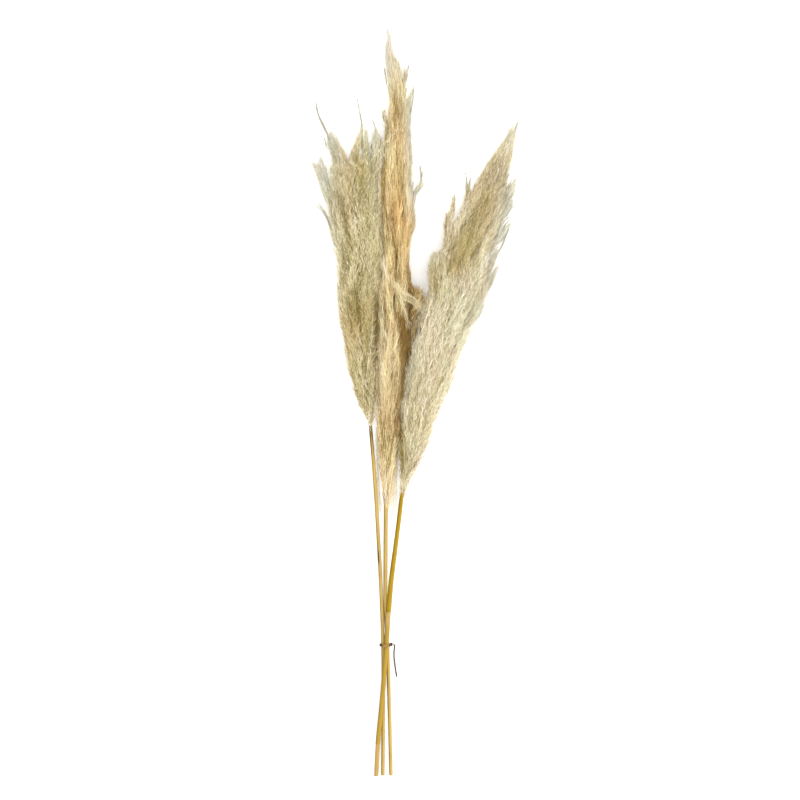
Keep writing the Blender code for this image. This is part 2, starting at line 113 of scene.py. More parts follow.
# Plumes: the body as rows of (y, left x, right x, z of its middle, half height), and the crown,
# which is the y that no branch of the body passes, as rows of (x, y). The lobes are (rows of (y,
# left x, right x), z and half height at the root, the same at the tip, locks). The single branches,
# which are the whiskers, strays and wisps, are (points, strands, how far the strands spread).
PLUME_LEFT = {
    "body": [
        (466, -21.5, -16.5, 22.0, 2.3), (484, -30, -14.5, 23.0, 7), (502, -37, -13.5, 24.0, 10),
        (521, -42.5, -10, 25.5, 14), (545, -49, -7, 26.5, 17), (569, -54, -5, 27.5, 20),
        (600, -58, -5, 28.0, 23), (641, -62.5, -5, 28.0, 26), (672, -64, -1, 28.0, 27),
        (703, -65, 0, 28.0, 27.5), (738, -73, 0, 28.0, 27), (776, -73.5, 0, 28.0, 24),
        (810, -72, 0, 27.5, 18), (850, -72, 0, 27.0, 9),
    ],
    "crown": [
        (-95, 768), (-78, 800), (-64, 812), (-48, 806), (-36, 816), (-21, 816), (-10, 832),
        (0, 846),
    ],
    "lobes": [
        ([(730, -75, -40), (790, -73.5, -42), (812, -70, -47), (824, -70.5, -50), (836, -74, -56),
          (848, -76, -62), (862, -72, -67.5)], (29, 26), (31, 4), 26),
        ([(742, -75, -60), (765, -79, -64), (786, -87, -69), (804, -91.5, -79), (816, -94.5, -88),
          (823, -96, -93)], (28, 16), (27, 3), 13),
        ([(760, -77, -64), (792, -84, -73), (812, -87, -79.5), (830, -86.4, -84.6)],
         (29, 14), (28, 3), 7),
        ([(728, -51, -17), (800, -50, -18), (826, -47.5, -20), (840, -42, -21.5),
          (850, -38, -23), (858, -34, -24), (868, -31, -27)], (29, 27), (32, 4), 26),
        ([(736, -22, 2), (820, -21, -2), (836, -18.5, -2.5), (848, -17, -4.5), (857, -15.8, -8.5),
          (865, -13.6, -10)], (29, 27), (35, 4), 16),
        ([(806, -4, 7), (850, -2.5, 6), (872, -2.2, 4), (884, -1.8, 1.4), (890, -1.2, 0.2)],
         (38, 7), (38, 2), 5),
        ([(680, -62, -48), (700, -65.5, -52), (718, -69.5, -60), (734, -73, -68)],
         (28, 16), (27, 3), 6),
    ],
    "whiskers": [
        ([(-68, 826, 31), (-77, 858, 31), (-83.5, 871, 30), (-89, 884, 30), (-92, 903, 29)],
         9, 0.7),
        ([(-76, 836, 30), (-79.5, 848, 30), (-82, 855, 30)], 3, 0.4),
        ([(-31, 836, 32), (-30.5, 866, 32), (-33.5, 886, 31), (-37, 908, 30)], 8, 0.6),
        ([(-11.8, 846, 35), (-12.6, 864, 35), (-16.2, 878, 34)], 3, 0.4),
        ([(-66, 712, 28), (-72, 733, 28), (-79, 750, 27), (-86, 760, 26), (-96, 770, 25)], 7, 0.8),
    ],
    "strays": [
        ([(-16, 818, 46), (-5, 836, 48), (6, 849, 49), (19, 865, 46)], 4, 2.2),
        ([(-12, 806, 46), (-1, 826, 48), (10, 845, 49), (14, 852, 49)], 4, 2.4),
        ([(-24, 490, 31), (-20.5, 472, 27), (-19, 462, 25)], 5, 1.2),
    ],
}
PLUME_MIDDLE = {
    "body": [
        (353, 0.2, 2.8, 17.3, 2.9), (376, -2.5, 8, 18.5, 5), (402, -4.8, 12, 20.0, 8),
        (448, -7.5, 19, 23.0, 14), (502, -10.5, 25.5, 26.0, 20), (540, -11.5, 28.5, 27.5, 23),
        (575, -9.5, 31, 28.5, 25), (600, -7.6, 32, 29.0, 27), (640, -8.8, 32, 28.6, 27.4),
        (669, -3.5, 31, 28.4, 27.5), (700, -1, 31.5, 28.6, 28), (735, -4, 36, 29.0, 28),
        (762, -5, 37.5, 29.0, 27.5), (786, -5, 36, 29.0, 26.5), (810, -4, 34.5, 28.5, 24),
        (834, -1.5, 32.5, 28.0, 21), (870, 3.5, 30, 27.0, 18), (906, 7, 25, 26.0, 14.5),
        (930, 6.5, 19.5, 25.0, 11), (945, 4.5, 15, 24.4, 8.5), (966, 3, 9, 23.4, 5),
        (978, 3.8, 7.4, 22.8, 3), (986, 4.4, 6.4, 22.5, 1.6),
    ],
    "lobes": [
        ([(880, 9, 26), (920, 10, 23), (942, 11.5, 19.5), (954, 12, 16.6), (962, 13, 15)],
         (27, 11), (25, 2), 7),
        ([(866, 15, 30), (905, 18, 29), (922, 21, 27.5), (932, 25, 28), (944, 28.6, 29.6)],
         (28, 9), (27, 1.5), 5),
        ([(806, 20, 36.5), (850, 22, 35), (880, 25, 34.6), (896, 30, 35.6), (908, 34, 36.6),
          (920, 36.8, 37.6)], (29, 13), (27, 1.5), 8),
        ([(722, 26, 38), (762, 31, 40), (774, 34, 43), (786, 42.5, 46.4), (796, 46.2, 48)],
         (29, 10), (28, 2), 6),
        ([(602, 22, 34), (618, 24, 41), (630, 26, 49), (638, 27, 50), (643, 28, 46), (648, 29, 41),
          (654, 30, 37), (665, 30.5, 33.5), (676, 30.5, 32)], (26, 22), (26, 8), 26),
        ([(480, 18, 26), (510, 21, 32), (540, 24, 35.5), (585, 26, 40.5), (625, 30, 46),
          (650, 34, 46)], (20, 11), (23, 6), 24),
        ([(880, 5.5, 14), (920, 4.5, 11), (950, 2.4, 7), (971, 2, 4)], (27, 8), (24, 1.5), 4),
    ],
    "whiskers": [
        ([(6, 962, 24), (4.6, 984, 23), (2.6, 1001, 22)], 3, 0.2),
        ([(28, 926, 27), (30.0, 940, 27), (30.6, 952, 26)], 2, 0.3),
        ([(34, 884, 28), (37.0, 906, 27), (39.0, 924, 26)], 3, 0.4),
        ([(44, 780, 29), (47.4, 797, 28), (47.0, 818, 27)], 4, 0.3),
        ([(3, 920, 25), (0.6, 936, 25), (-0.6, 946, 24)], 3, 0.3),
    ],
    "strays": [
        ([(-4, 690, 54.5), (3, 667, 56), (17, 651, 56), (34, 637, 52), (52, 622, 46.5)], 7, 1.5),
        ([(19, 640, 56), (26.5, 618, 53), (31.5, 596, 49)], 5, 1.2),
        ([(4, 660, 56), (22, 642, 56), (40, 630, 51)], 4, 1.8),
        ([(3, 410, 30), (1.6, 386, 26), (1.2, 362, 21.5)], 7, 1.8),
    ],
    "wisps": [
        ([(-8, 480, 22), (-9.5, 440, 18), (-9, 396, 14), (-6.5, 352, 11)], 8, 2.0),
        ([(10, 452, 22), (13, 420, 18), (12, 384, 13), (10, 346, 9)], 7, 2.6),
        ([(34, 636, 34), (34, 620, 32), (33, 600, 30)], 5, 1.8),
    ],
}
PLUME_RIGHT = {
    "body": [
        (374, 20.4, 25.2, 23.9, 3), (387, 20, 28.5, 24.2, 4.5), (410, 19.5, 40.5, 25.3, 8.5),
        (436, 18, 53, 26.5, 13), (462, 18.5, 63, 28.0, 17), (496, 20, 75, 29.2, 22),
        (529, 27, 89, 30.0, 25.5), (569, 34.5, 103, 30.0, 28), (610, 43, 120.5, 29.7, 28.5),
        (650, 57, 132, 29.0, 28.5), (689, 62, 136.5, 29.0, 28.2), (704, 76, 140, 29.0, 28),
        (726, 84, 149.5, 28.7, 27), (750, 98, 156, 28.4, 25.5), (774, 112, 160, 28.0, 23),
        (798, 125, 162, 27.6, 18), (822, 140, 166, 27.0, 13.5), (846, 158, 170, 26.4, 8),
        (860, 166, 172, 25.8, 4), (868, 169, 172.5, 25.5, 2),
    ],
    "lobes": [
        ([(806, 139.5, 163), (836, 153, 168), (852, 162, 170), (866, 167.5, 169.5)],
         (28, 10), (27, 2), 8),
        ([(734, 98, 118), (750, 99, 118), (762, 104, 117), (774, 107.5, 114.5), (784, 109, 112.5),
          (791, 110, 111)], (31, 12), (31, 2), 8),
        ([(700, 80, 98), (735, 82.5, 92), (750, 85.5, 90.5), (762, 88.5, 91.3), (775, 92.2, 93)],
         (31, 12), (31, 2), 7),
        ([(684, 73, 92), (725, 78, 89), (742, 80.4, 86), (753, 81.8, 83.2)],
         (31, 12), (31, 2), 7),
        ([(612, 48, 84), (640, 55, 84), (655, 58, 84), (668, 57, 84), (680, 59, 82), (690, 60, 80),
          (696, 62.5, 79), (701, 67, 77)], (31, 20), (33, 7), 22),
        ([(724, 126, 152), (755, 141, 162), (776, 156, 170), (789, 167, 173.4),
          (799, 173, 174.4)], (28, 13), (27, 2), 8),
        ([(708, 126, 150), (738, 141, 158.5), (758, 154, 166.5), (774, 169.6, 171.4)],
         (28, 12), (26, 2), 7),
        ([(682, 116, 140), (706, 132, 150), (720, 147, 157.5), (730, 157, 163.4),
          (740, 167, 168.6)], (28, 12), (26, 2), 7),
        ([(640, 108, 131), (668, 124, 138), (686, 138.5, 144.5), (696, 145, 148.6),
          (706, 151.8, 153)], (28, 12), (26, 2), 8),
        ([(606, 100, 124), (632, 116, 133), (648, 125, 138.5), (660, 134, 143.4),
          (670, 141.4, 147), (683, 149.6, 151)], (28, 12), (26, 2), 10),
    ],
    "whiskers": [
        ([(168, 844, 27), (173, 861, 26), (178.5, 878, 26)], 5, 0.5),
        ([(109, 772, 31), (108.4, 794, 31), (106.6, 809, 30)], 4, 0.4),
        ([(110, 772, 30), (112.2, 790, 30), (114.6, 803, 29)], 4, 0.4),
        ([(87, 730, 31), (90.0, 758, 31), (93.0, 780, 30)], 3, 0.35),
        ([(157, 764, 28), (167.5, 786, 27), (174.4, 799, 26)], 3, 0.4),
        ([(152, 700, 28), (161, 722, 27), (168.6, 741, 26)], 3, 0.4),
        ([(138, 668, 28), (146.0, 690, 27), (154.0, 708, 26)], 3, 0.4),
        ([(136, 650, 28), (145.0, 670, 27), (152.4, 686, 26)], 3, 0.4),
        ([(150, 772, 30), (158.0, 790, 30), (165.0, 806, 29)], 2, 0.4),
        ([(154, 770, 29), (163.0, 787, 29), (171.0, 801, 28)], 2, 0.4),
        ([(150, 742, 28), (160.0, 760, 27), (170.0, 778, 26)], 2, 0.4),
        ([(146, 716, 28), (157.0, 732, 27), (168.0, 745, 26)], 2, 0.4),
        ([(142, 706, 28), (152.0, 719, 27), (163.0, 733, 26)], 2, 0.4),
        ([(150, 778, 29), (154.5, 797, 29), (158.5, 812, 28)], 2, 0.3),
        ([(154, 778, 29), (160.0, 795, 28), (166.5, 808, 27)], 2, 0.3),
        ([(148, 724, 28), (158.0, 740, 27), (172.0, 754, 26)], 2, 0.3),
        ([(150, 732, 28), (160.0, 748, 27), (174.0, 764, 26)], 2, 0.3),
        ([(140, 700, 28), (148.0, 710, 27), (158.0, 722, 26)], 2, 0.3),
    ],
    "strays": [([(27, 420, 33), (24.6, 398, 29.5), (23, 380, 26.5)], 6, 1.5)],
    "wisps": [([(24, 420, 26), (21, 398, 24), (19, 380, 21), (17, 366, 18)], 4, 1.6)],
}

# The free end of the twine, from the knot to the floor and along it.
TAIL_ROUTE = [
    (11.2, 176.7, 10.4), (12.3, 176.1, 10.3), (12.9, 173.6, 9.7), (12.4, 169.5, 8.2),
    (12.0, 165.0, 6.5), (12.0, 160.0, 4.6), (12.4, 155.0, 2.8), (13.0, 150.0, 1.5),
    (13.7, 145.0, 1.0), (14.4, 140.0, 0.95), (15.1, 135.5, 0.95), (15.6, 132.0, 0.95),
]


# --- Curves through tables -------------------------------------------------------------------


def slopes(keys, values):
    """Slopes that make a smooth curve through the values, flat at each turning point."""
    steps = np.diff(values, axis=0) / np.diff(keys)[:, None]
    inner = 0.5 * (steps[1:] + steps[:-1]) * (steps[1:] * steps[:-1] > 0)
    return np.vstack([steps[:1], inner, steps[-1:]])


class Curve:
    """A smooth curve through rows of (key, value, value, ...), read at any array of keys."""

    def __init__(self, rows):
        table = np.array(rows, float)
        self.keys = table[:, 0]
        self.values = table[:, 1:]
        self.slopes = slopes(self.keys, self.values)

    def __call__(self, keys):
        keys = np.clip(np.asarray(keys, float), self.keys[0], self.keys[-1])
        i = np.clip(np.searchsorted(self.keys, keys) - 1, 0, len(self.keys) - 2)
        span = (self.keys[i + 1] - self.keys[i])[..., None]
        t = (keys - self.keys[i])[..., None] / span
        rise = t * t * (3 - 2 * t)
        bend = t * (1 - t) * span
        return (
            (1 - rise) * self.values[i]
            + rise * self.values[i + 1]
            + bend * ((1 - t) * self.slopes[i] - t * self.slopes[i + 1])
        )


def distances(points):
    """How far along the path each of its points is."""
    steps = np.linalg.norm(np.diff(points, axis=0), axis=1)
    return np.concatenate([[0.0], np.cumsum(steps)])


def arc_curve(points):
    """A Curve through points, keyed by the distance along them."""
    table = np.array(points, float)
    return Curve(np.column_stack([distances(table), table]))


def smooth_step(low, high, value):
    t = np.clip((value - low) / (high - low), 0.0, 1.0)
    return t * t * (3 - 2 * t)


def band(low, high, soft, value):
    """1 between low and high, and 0 outside them, with soft edges."""
    rise = smooth_step(low - soft, low + soft, value)
    return rise * (1 - smooth_step(high - soft, high + soft, value))


def round_turns(sides):
    """The angles of this many points evenly round a circle."""
    return np.linspace(0, 2 * math.pi, sides, endpoint=False)


def in_frame(points):
    """Points of the tables, in the frame's place and in metres."""
    return np.asarray(points, float) * MM + np.array(ORIGIN)


def srgb(red, green, blue):
    """A colour of 0 to 255 as Blender's linear one, by the sRGB standard's curve."""
    shares = np.array([red, green, blue]) / 255
    linear = np.where(shares <= 0.04045, shares / 12.92, ((shares + 0.055) / 1.055) ** 2.4)
    return tuple(float(share) for share in linear)


def lit(colour, light):
    """A colour times a light, at most white."""
    return tuple(min(1.0, share * light) for share in colour)


# --- Settings --------------------------------------------------------------------------------


def number_setting(name, description, default, least=0.0, **more):
    return bpy.props.FloatProperty(
        name=name, description=description, default=default, min=least, **more
    )


def length_setting(name, description, default, least=0.0):
    return number_setting(name, description, default, least, unit="LENGTH", precision=5)


def colour_setting(name, description, default):
    return bpy.props.FloatVectorProperty(
        name=name, description=description, default=default, size=3, min=0.0, max=1.0,
        subtype="COLOR",
    )


class PampasStageSettings(bpy.types.PropertyGroup):
    lens: number_setting("Lens", "The camera's focal length", 85.0, 1.0, unit="CAMERA")
    camera_height: length_setting(
        "Camera height", "How far over the floor the camera looks straight down", 2.54
    )
    camera_x: length_setting("Camera X", "The camera's place across the bunch", -0.0182, -5.0)
    camera_y: length_setting("Camera Y", "The camera's place along the bunch", 0.004, -5.0)
    floor_colour: colour_setting("Floor", "Colour of the floor", (0.93, 0.93, 0.93))
    floor_glow: number_setting(
        "Floor glow", "How much the floor shines, as a light table does", 0.25
    )
    sky_strength: number_setting("Sky", "Strength of the even light from all round", 1.2)
    key_power: number_setting(
        "Key light", "Power of the large soft light", 44.0, unit="POWER"
    )


class PampasTwineSettings(bpy.types.PropertyGroup):
    diameter: length_setting("Twine", "Diameter of the twine", 0.0020)
    ply_pitch: length_setting("Twist", "Length in which the plies go once round", 0.0052)
    # Dark is also the painted shade between the plies, and light the painted light on their crowns.
    dark: colour_setting("Dark fibre", "Colour deep between the plies", srgb(56, 40, 30))
    light: colour_setting("Light fibre", "Colour of the plies' crowns", srgb(104, 84, 68))
    # The colour of the painted light on the turns' upper side.
    wear_and_painted_light: colour_setting("Worn fibre", "Colour of the turns' worn upper side", srgb(172, 136, 76))


class PampasStemSettings(bpy.types.PropertyGroup):
    straw: colour_setting("Straw", "Colour of the pale stems", srgb(178, 151, 83))
    straw_dark: colour_setting("Straw, dark", "Colour of their streaks", srgb(112, 86, 28))
    gold: colour_setting("Gold", "Colour of the sheathed stem", srgb(154, 122, 0))
    gold_dark: colour_setting("Gold, dark", "Colour of its streaks", srgb(84, 66, 0))
    bare: colour_setting("Bare culm", "Colour under a sheath's edge", srgb(192, 158, 90))
    pith: colour_setting("Pith", "Colour of the cut ends' middle", srgb(214, 188, 140))
    # The scar colour is also the painted shade between the stems near the tie.
    scar_and_shade: colour_setting("Scar", "Colour of a stem's brown scars", srgb(78, 54, 18))


class PampasPlumeSettings(bpy.types.PropertyGroup):
    spikelet_length: length_setting("Spikelet length", "Length of a spikelet", 0.0105)
    spikelet_width: length_setting("Spikelet width", "Width of a spikelet", 0.00115)
    spikelet_spacing: length_setting("Spikelet spacing", "Distance along a branch", 0.0025)
    hair_length: length_setting("Hair length", "Length of a silky hair", 0.0150)
    hair_width: length_setting("Hair width", "Width of a silky hair", 0.0005)
    hair_spacing: length_setting("Hair spacing", "Distance along a branch", 0.0046)
    spread: number_setting(
        "Spread", "How far spikelets lean off their branch, as a slope", 0.45, max=2.0
    )
    seed: bpy.props.IntProperty(name="Seed", description="Seed of every random draw", default=5)


# --- Nodes -----------------------------------------------------------------------------------

MIX_A, MIX_B, MIX_RESULT = 6, 7, 2  # the Mix node's colour sockets, by their place
NOISE_RANGE = (0.3, 0.7)  # where nearly all of a noise's values are


def set_inputs(tree, node, inputs):
    """Sets a node's inputs, or links each whose value is a socket. A colour needs no alpha."""
    for key, value in inputs.items():
        socket = node.inputs[key]
        if isinstance(value, bpy.types.NodeSocket):
            tree.links.new(value, socket)
        else:
            socket.default_value = (*value, 1.0) if socket.type == "RGBA" else value


def add_node(tree, kind, inputs=None, **settings):
    made = tree.nodes.new(kind)
    for key, value in settings.items():
        setattr(made, key, value)
    set_inputs(tree, made, inputs or {})
    return made


def maths(tree, operation, *values):
    node = add_node(tree, "ShaderNodeMath", dict(enumerate(values)), operation=operation)
    return node.outputs[0]


def mix_colours(tree, factor, first, second, blend="MIX"):
    inputs = {0: factor, MIX_A: first, MIX_B: second}
    made = add_node(tree, "ShaderNodeMix", inputs, data_type="RGBA", blend_type=blend)
    return made.outputs[MIX_RESULT]


def ramp(tree, factor, stops):
    """A colour ramp through (place, colour) stops."""
    node = add_node(tree, "ShaderNodeValToRGB", {"Fac": factor})
    elements = node.color_ramp.elements
    while len(elements) < len(stops):
        elements.new(0.5)
    for element, (place, colour) in zip(elements, stops):
        element.position = place
        element.color = (*colour, 1.0)
    return node.outputs["Color"]


def attribute(tree, name):
    return add_node(tree, "ShaderNodeAttribute", attribute_name=name).outputs["Fac"]


def object_noise(tree, scale, along, detail=3.0, roughness=0.5):
    """Noise on Object coordinates.

    scale is its cells to the metre, and along is how many of those it has along the bunch, as a
    share: the less, the longer its streaks.
    """
    place = add_node(tree, "ShaderNodeTexCoord").outputs["Object"]
    place = add_node(tree, "ShaderNodeMapping", {"Vector": place, "Scale": (1.0, along, 1.0)})
    noise = add_node(
        tree, "ShaderNodeTexNoise",
        {"Vector": place.outputs[0], "Scale": scale, "Detail": detail, "Roughness": roughness},
    )
    return noise.outputs["Fac"]


def new_material(name, roughness, specular=0.5, sheen=0.0):
    """An empty material with its tree and its Principled shader."""
    made = bpy.data.materials.new(name)
    made.use_nodes = True
    tree = made.node_tree
    shader = tree.nodes["Principled BSDF"]
    set_inputs(tree, shader, {
        "Roughness": roughness, "Specular IOR Level": specular, "Sheen Weight": sheen,
    })
    return made, tree, shader


def vary_roughness(tree, shader, noise, low, high):
    """Makes the roughness follow a noise, from low to high."""
    made = add_node(tree, "ShaderNodeMapRange", {
        "Value": noise, "From Min": NOISE_RANGE[0], "From Max": NOISE_RANGE[1],
        "To Min": low, "To Max": high,
    })
    set_inputs(tree, shader, {"Roughness": made.outputs["Result"]})


def add_bump(tree, shader, height, strength, distance):
    inputs = {"Height": height, "Strength": strength, "Distance": distance}
    bump = add_node(tree, "ShaderNodeBump", inputs)
    set_inputs(tree, shader, {"Normal": bump.outputs["Normal"]})


# --- Meshes ----------------------------------------------------------------------------------


def add_object(name, data):
    made = bpy.data.objects.new(name, data)
    bpy.context.scene.collection.objects.link(made)
    return made


def shell_object(name, points, faces):
    """An object of closed shells, its points in metres, with its faces turned outwards."""
    data = bpy.data.meshes.new(name)
    data.from_pydata([tuple(p) for p in points], [], faces)
    mesh = bmesh.new()
    mesh.from_mesh(data)
    bmesh.ops.recalc_face_normals(mesh, faces=mesh.faces[:])
    mesh.to_mesh(data)
    mesh.free()
    return add_object(name, data)


def tube(rings, closed=False):
    """Points and faces of a tube through an array of rings (ring, side, xyz).

    Each end is closed by a fan to a middle point, unless the tube closes on itself.
    """
    count, sides = rings.shape[:2]
    points = rings.reshape(-1, 3)
    faces = []
    for r in range(count if closed else count - 1):
        low, high = r * sides, (r + 1) % count * sides
        for i in range(sides):
            j = (i + 1) % sides
            faces.append((low + i, low + j, high + j, high + i))
    if closed:
        return points, faces
    start, end, last = count * sides, count * sides + 1, (count - 1) * sides
    for i in range(sides):
        j = (i + 1) % sides
        faces.append((j, i, start))
        faces.append((last + i, last + j, end))
    return np.vstack([points, rings[0].mean(axis=0), rings[-1].mean(axis=0)]), faces


def joined(parts):
    """Several parts as one, each of them points, faces and a value for each point."""
    all_points, all_faces, all_values = [], [], []
    first = 0
    for points, faces, values in parts:
        all_points.append(points)
        all_faces.extend(tuple(first + i for i in face) for face in faces)
        all_values.append(values)
        first += len(points)
    return np.vstack(all_points), all_faces, np.concatenate(all_values)


def set_floats(obj, name, values):
    made = obj.data.attributes.new(name, "FLOAT", "POINT")
    made.data.foreach_set("value", np.asarray(values, np.float32).ravel())


def finish_piece(obj, node, material=None, smooth=True):
    """Gives a finished piece its material, puts it on the root body, and hides the frame's part
    that it stands for.
    """
    if material:
        obj.data.materials.append(material)
    if smooth:
        obj.data.shade_smooth()
    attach(obj, "root")
    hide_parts(node)


def evaluated_mesh(obj):
    """Makes the object's evaluated result its own plain mesh, and drops its modifiers."""
    bpy.context.view_layer.update()
    graph = bpy.context.evaluated_depsgraph_get()
    made = bpy.data.meshes.new_from_object(obj.evaluated_get(graph))
    obj.modifiers.clear()
    old = obj.data
    obj.data = made
    bpy.data.meshes.remove(old)


# --- Stage -----------------------------------------------------------------------------------

# In metres.
FLOOR_HALF = 6.0
FLOOR_CORNERS = ((-1, -1), (1, -1), (1, 1), (-1, 1))
KEY_SIZE = 2.4
KEY_PLACE = Vector((0.35, 0.25, 3.0))
CAMERA_CLIP_END = 50.0
WHITE = (1.0, 1.0, 1.0)


class PAMPAS_OT_stage(bpy.types.Operator):
    """Makes the floor, the soft light and the camera that looks straight down on the bunch"""

    bl_idname = "pampas.stage"
    bl_label = "Stage"

    def execute(self, context):
        settings = context.scene.pampas_stage
        for obj in [o for o in bpy.data.objects if o.name in ("Cube", "Light", "Camera")]:
            bpy.data.objects.remove(obj, do_unlink=True)
        context.scene.view_settings.view_transform = "Standard"

        data = bpy.data.meshes.new("floor")
        corners = [(x * FLOOR_HALF, y * FLOOR_HALF, 0) for x, y in FLOOR_CORNERS]
        data.from_pydata(corners, [], [(0, 1, 2, 3)])
        floor = add_object("floor", data)
        made, tree, shader = new_material("floor_paper", roughness=0.9, specular=0.1)
        set_inputs(tree, shader, {
            "Base Color": settings.floor_colour, "Emission Color": WHITE,
            "Emission Strength": settings.floor_glow,
        })
        floor.data.materials.append(made)

        world = context.scene.world or bpy.data.worlds.new("sky")
        context.scene.world = world
        world.use_nodes = True
        sky = world.node_tree.nodes["Background"]
        set_inputs(world.node_tree, sky, {"Color": WHITE, "Strength": settings.sky_strength})

        light = bpy.data.lights.new("key", "AREA")
        light.energy = settings.key_power
        light.size = KEY_SIZE
        key = add_object("key", light)
        key.location = KEY_PLACE
        key.rotation_euler = (-KEY_PLACE).to_track_quat("-Z", "Y").to_euler()

        lens = bpy.data.cameras.new("camera")
        lens.lens = settings.lens
        lens.clip_end = CAMERA_CLIP_END
        camera = add_object("camera", lens)
        camera.location = (settings.camera_x, settings.camera_y, settings.camera_height)
        context.scene.camera = camera
        return {"FINISHED"}


# --- Twine -----------------------------------------------------------------------------------

TIE_Y = 176.0  # the middle of the turns
TURN_PITCH = 1.5
TURN_PLACES = (-0.5, 0.5)  # each turn's place along the stems, in pitches off the middle
TIE_CLEARANCE = 0.3  # between the twine and the stems
LOOP_POINTS = 96
KNOT = (8.4, 176.8, 10.4)
KNOT_SIZE = (0.42, 0.6, 0.75)  # the scale of its trefoil
KNOT_POINTS = 72
KNOT_TWINE = 0.85  # the knot's twine is drawn tight, to this share of its diameter
TWINE_PLIES = 2
PLY_SIDES = 8
PLY_THICK, PLY_WIDE = 1.06, 1.75  # a ply is pressed into an ellipse against its neighbour
TOP_LIGHT_ACROSS = (-2.5, 5.5, 1.0)  # the turns' upper stretch, painted lighter as painted light: from X to X, and its softness
TOP_LIGHT_ABOVE = (12.0, 15.0)  # and its edge in Z
TAIL_POINTS = 24  # of the cord's route
TAIL_RINGS = 96
TAIL_LOWEST = 0.02  # the lowest Z of the tail
ASKEW = (0.3, 0.2, 0.93)  # a direction that no twine starts along
FIBRE_LIGHT, CROWN_PAINTED_LIGHT = 0.7, 0.55  # how much the fibres and the plies' crowns lighten the jute; the crowns' lightening is painted light
TOP_LIGHT_EVEN = 0.6  # how much of the painted top light is the same in every fibre


def frames_along(path, closed):
    """Two unit vectors across each point of a path, turning as little as they can along it."""
    if closed:
        tangents = np.roll(path, -1, axis=0) - np.roll(path, 1, axis=0)
    else:
        tangents = np.gradient(path, axis=0)
    tangents /= np.linalg.norm(tangents, axis=1)[:, None]
    normal = np.cross(tangents[0], ASKEW)
    sides = []
    for tangent in tangents:
        normal = normal - tangent * (normal @ tangent)
        normal /= np.linalg.norm(normal)
        sides.append(normal.copy())
    sides = np.array(sides)
    return sides, np.cross(tangents, sides)


def twisted_twine(path, diameter, pitch, closed=False):
    """Points and faces of plies that twist round a path, and how far out on the twine each is."""
    side, up = frames_along(path, closed)
    along = distances(path)
    total = along[-1] + (np.linalg.norm(path[0] - path[-1]) if closed else 0.0)
    turns = max(1, round(total / pitch))
    ply_radius = diameter / 2 / TWINE_PLIES
    around = round_turns(PLY_SIDES)
    # Each ply's crown: 1 on its outer side, 0 where the plies meet, for painted light and shade.
    crown = np.tile(0.5 + 0.5 * np.cos(around), len(path))
    if not closed:
        crown = np.append(crown, [0.5, 0.5])
    plies = []
    for n in range(TWINE_PLIES):
        phase = 2 * math.pi * (turns * along / total + n / TWINE_PLIES)
        out = np.cos(phase)[:, None] * side + np.sin(phase)[:, None] * up
        cross = -np.sin(phase)[:, None] * side + np.cos(phase)[:, None] * up
        centre = path + (diameter / 2 - ply_radius) * out
        rings = (
            centre[:, None]
            + PLY_THICK * ply_radius * np.cos(around)[None, :, None] * out[:, None]
            + PLY_WIDE * ply_radius * np.sin(around)[None, :, None] * cross[:, None]
        )
        plies.append((*tube(rings, closed), crown))
    return joined(plies)


def twine_material(settings):
    """Jute with painted shade between its plies and painted light on their crowns and turns' tops.
    """
    made, tree, shader = new_material("twisted_jute", roughness=0.9, specular=0.1, sheen=0.1)
    fibre = object_noise(tree, 900.0, along=0.35, detail=4.0, roughness=0.7)
    crown = attribute(tree, "crown")
    crown_painted_light = maths(tree, "MULTIPLY", crown, CROWN_PAINTED_LIGHT)
    factor = maths(tree, "MULTIPLY_ADD", fibre, FIBRE_LIGHT, crown_painted_light)
    colour = ramp(tree, factor, [(0.25, settings.dark), (0.85, settings.light)])
    top_light_by_fibre = maths(tree, "ADD", fibre, TOP_LIGHT_EVEN)
    wear_and_painted_light = maths(tree, "MULTIPLY", attribute(tree, "wear_and_painted_light"), top_light_by_fibre)
    colour = mix_colours(tree, wear_and_painted_light, colour, settings.wear_and_painted_light)
    set_inputs(tree, shader, {"Base Color": colour})
    add_bump(tree, shader, fibre, strength=0.6, distance=0.0003)
    return made


def twine_object(name, node, points, faces, crown, wear_and_painted_light, settings):
    """A finished piece of twine."""
    made = shell_object(name, in_frame(points), faces)
    set_floats(made, "crown", crown)
    set_floats(made, "wear_and_painted_light", wear_and_painted_light)
    jute = bpy.data.materials.get("twisted_jute") or twine_material(settings)
    finish_piece(made, node, jute)
    return made


class PAMPAS_OT_twine_tail(bpy.types.Operator):
    """Makes the twine's free end, which hangs from the knot and lies along the floor"""

    bl_idname = "pampas.twine_tail"
    bl_label = "Twine's free end"

    def execute(self, context):
        settings = context.scene.pampas_twine
        route = arc_curve(TAIL_ROUTE)
        length = route.keys[-1]
        points, faces, crown = twisted_twine(
            route(np.linspace(0, length, TAIL_RINGS)),
            settings.diameter / MM, settings.ply_pitch / MM,
        )
        points[:, 2] = np.maximum(points[:, 2], TAIL_LOWEST)
        wear_and_painted_light = np.zeros(len(points))
        tail = twine_object("twine_tail", "tie_tail", points, faces, crown, wear_and_painted_light, settings)
        path = in_frame(route(np.linspace(0, length, TAIL_POINTS)))
        return {"FINISHED"}


def taut_loop(y, radius):
    """The loop that twine of this radius takes round the three stems."""
    circles = []
    for path in (STEM_LEFT, STEM_MIDDLE, STEM_RIGHT):
        x, z, stem_radius = stem_axis(path)(TIE_Y)
        if path is STEM_RIGHT:
            stem_radius += SHEATH_THICKNESS
        circles.append((np.array([x, z]), stem_radius + radius + TIE_CLEARANCE))
    points = []
    for turn in round_turns(LOOP_POINTS):
        ray = np.array([math.cos(turn), math.sin(turn)])
        middle, reach = max(circles, key=lambda c: ray @ c[0] + c[1])
        x, z = middle + reach * ray
        points.append((x, y, z))
    return np.array(points)


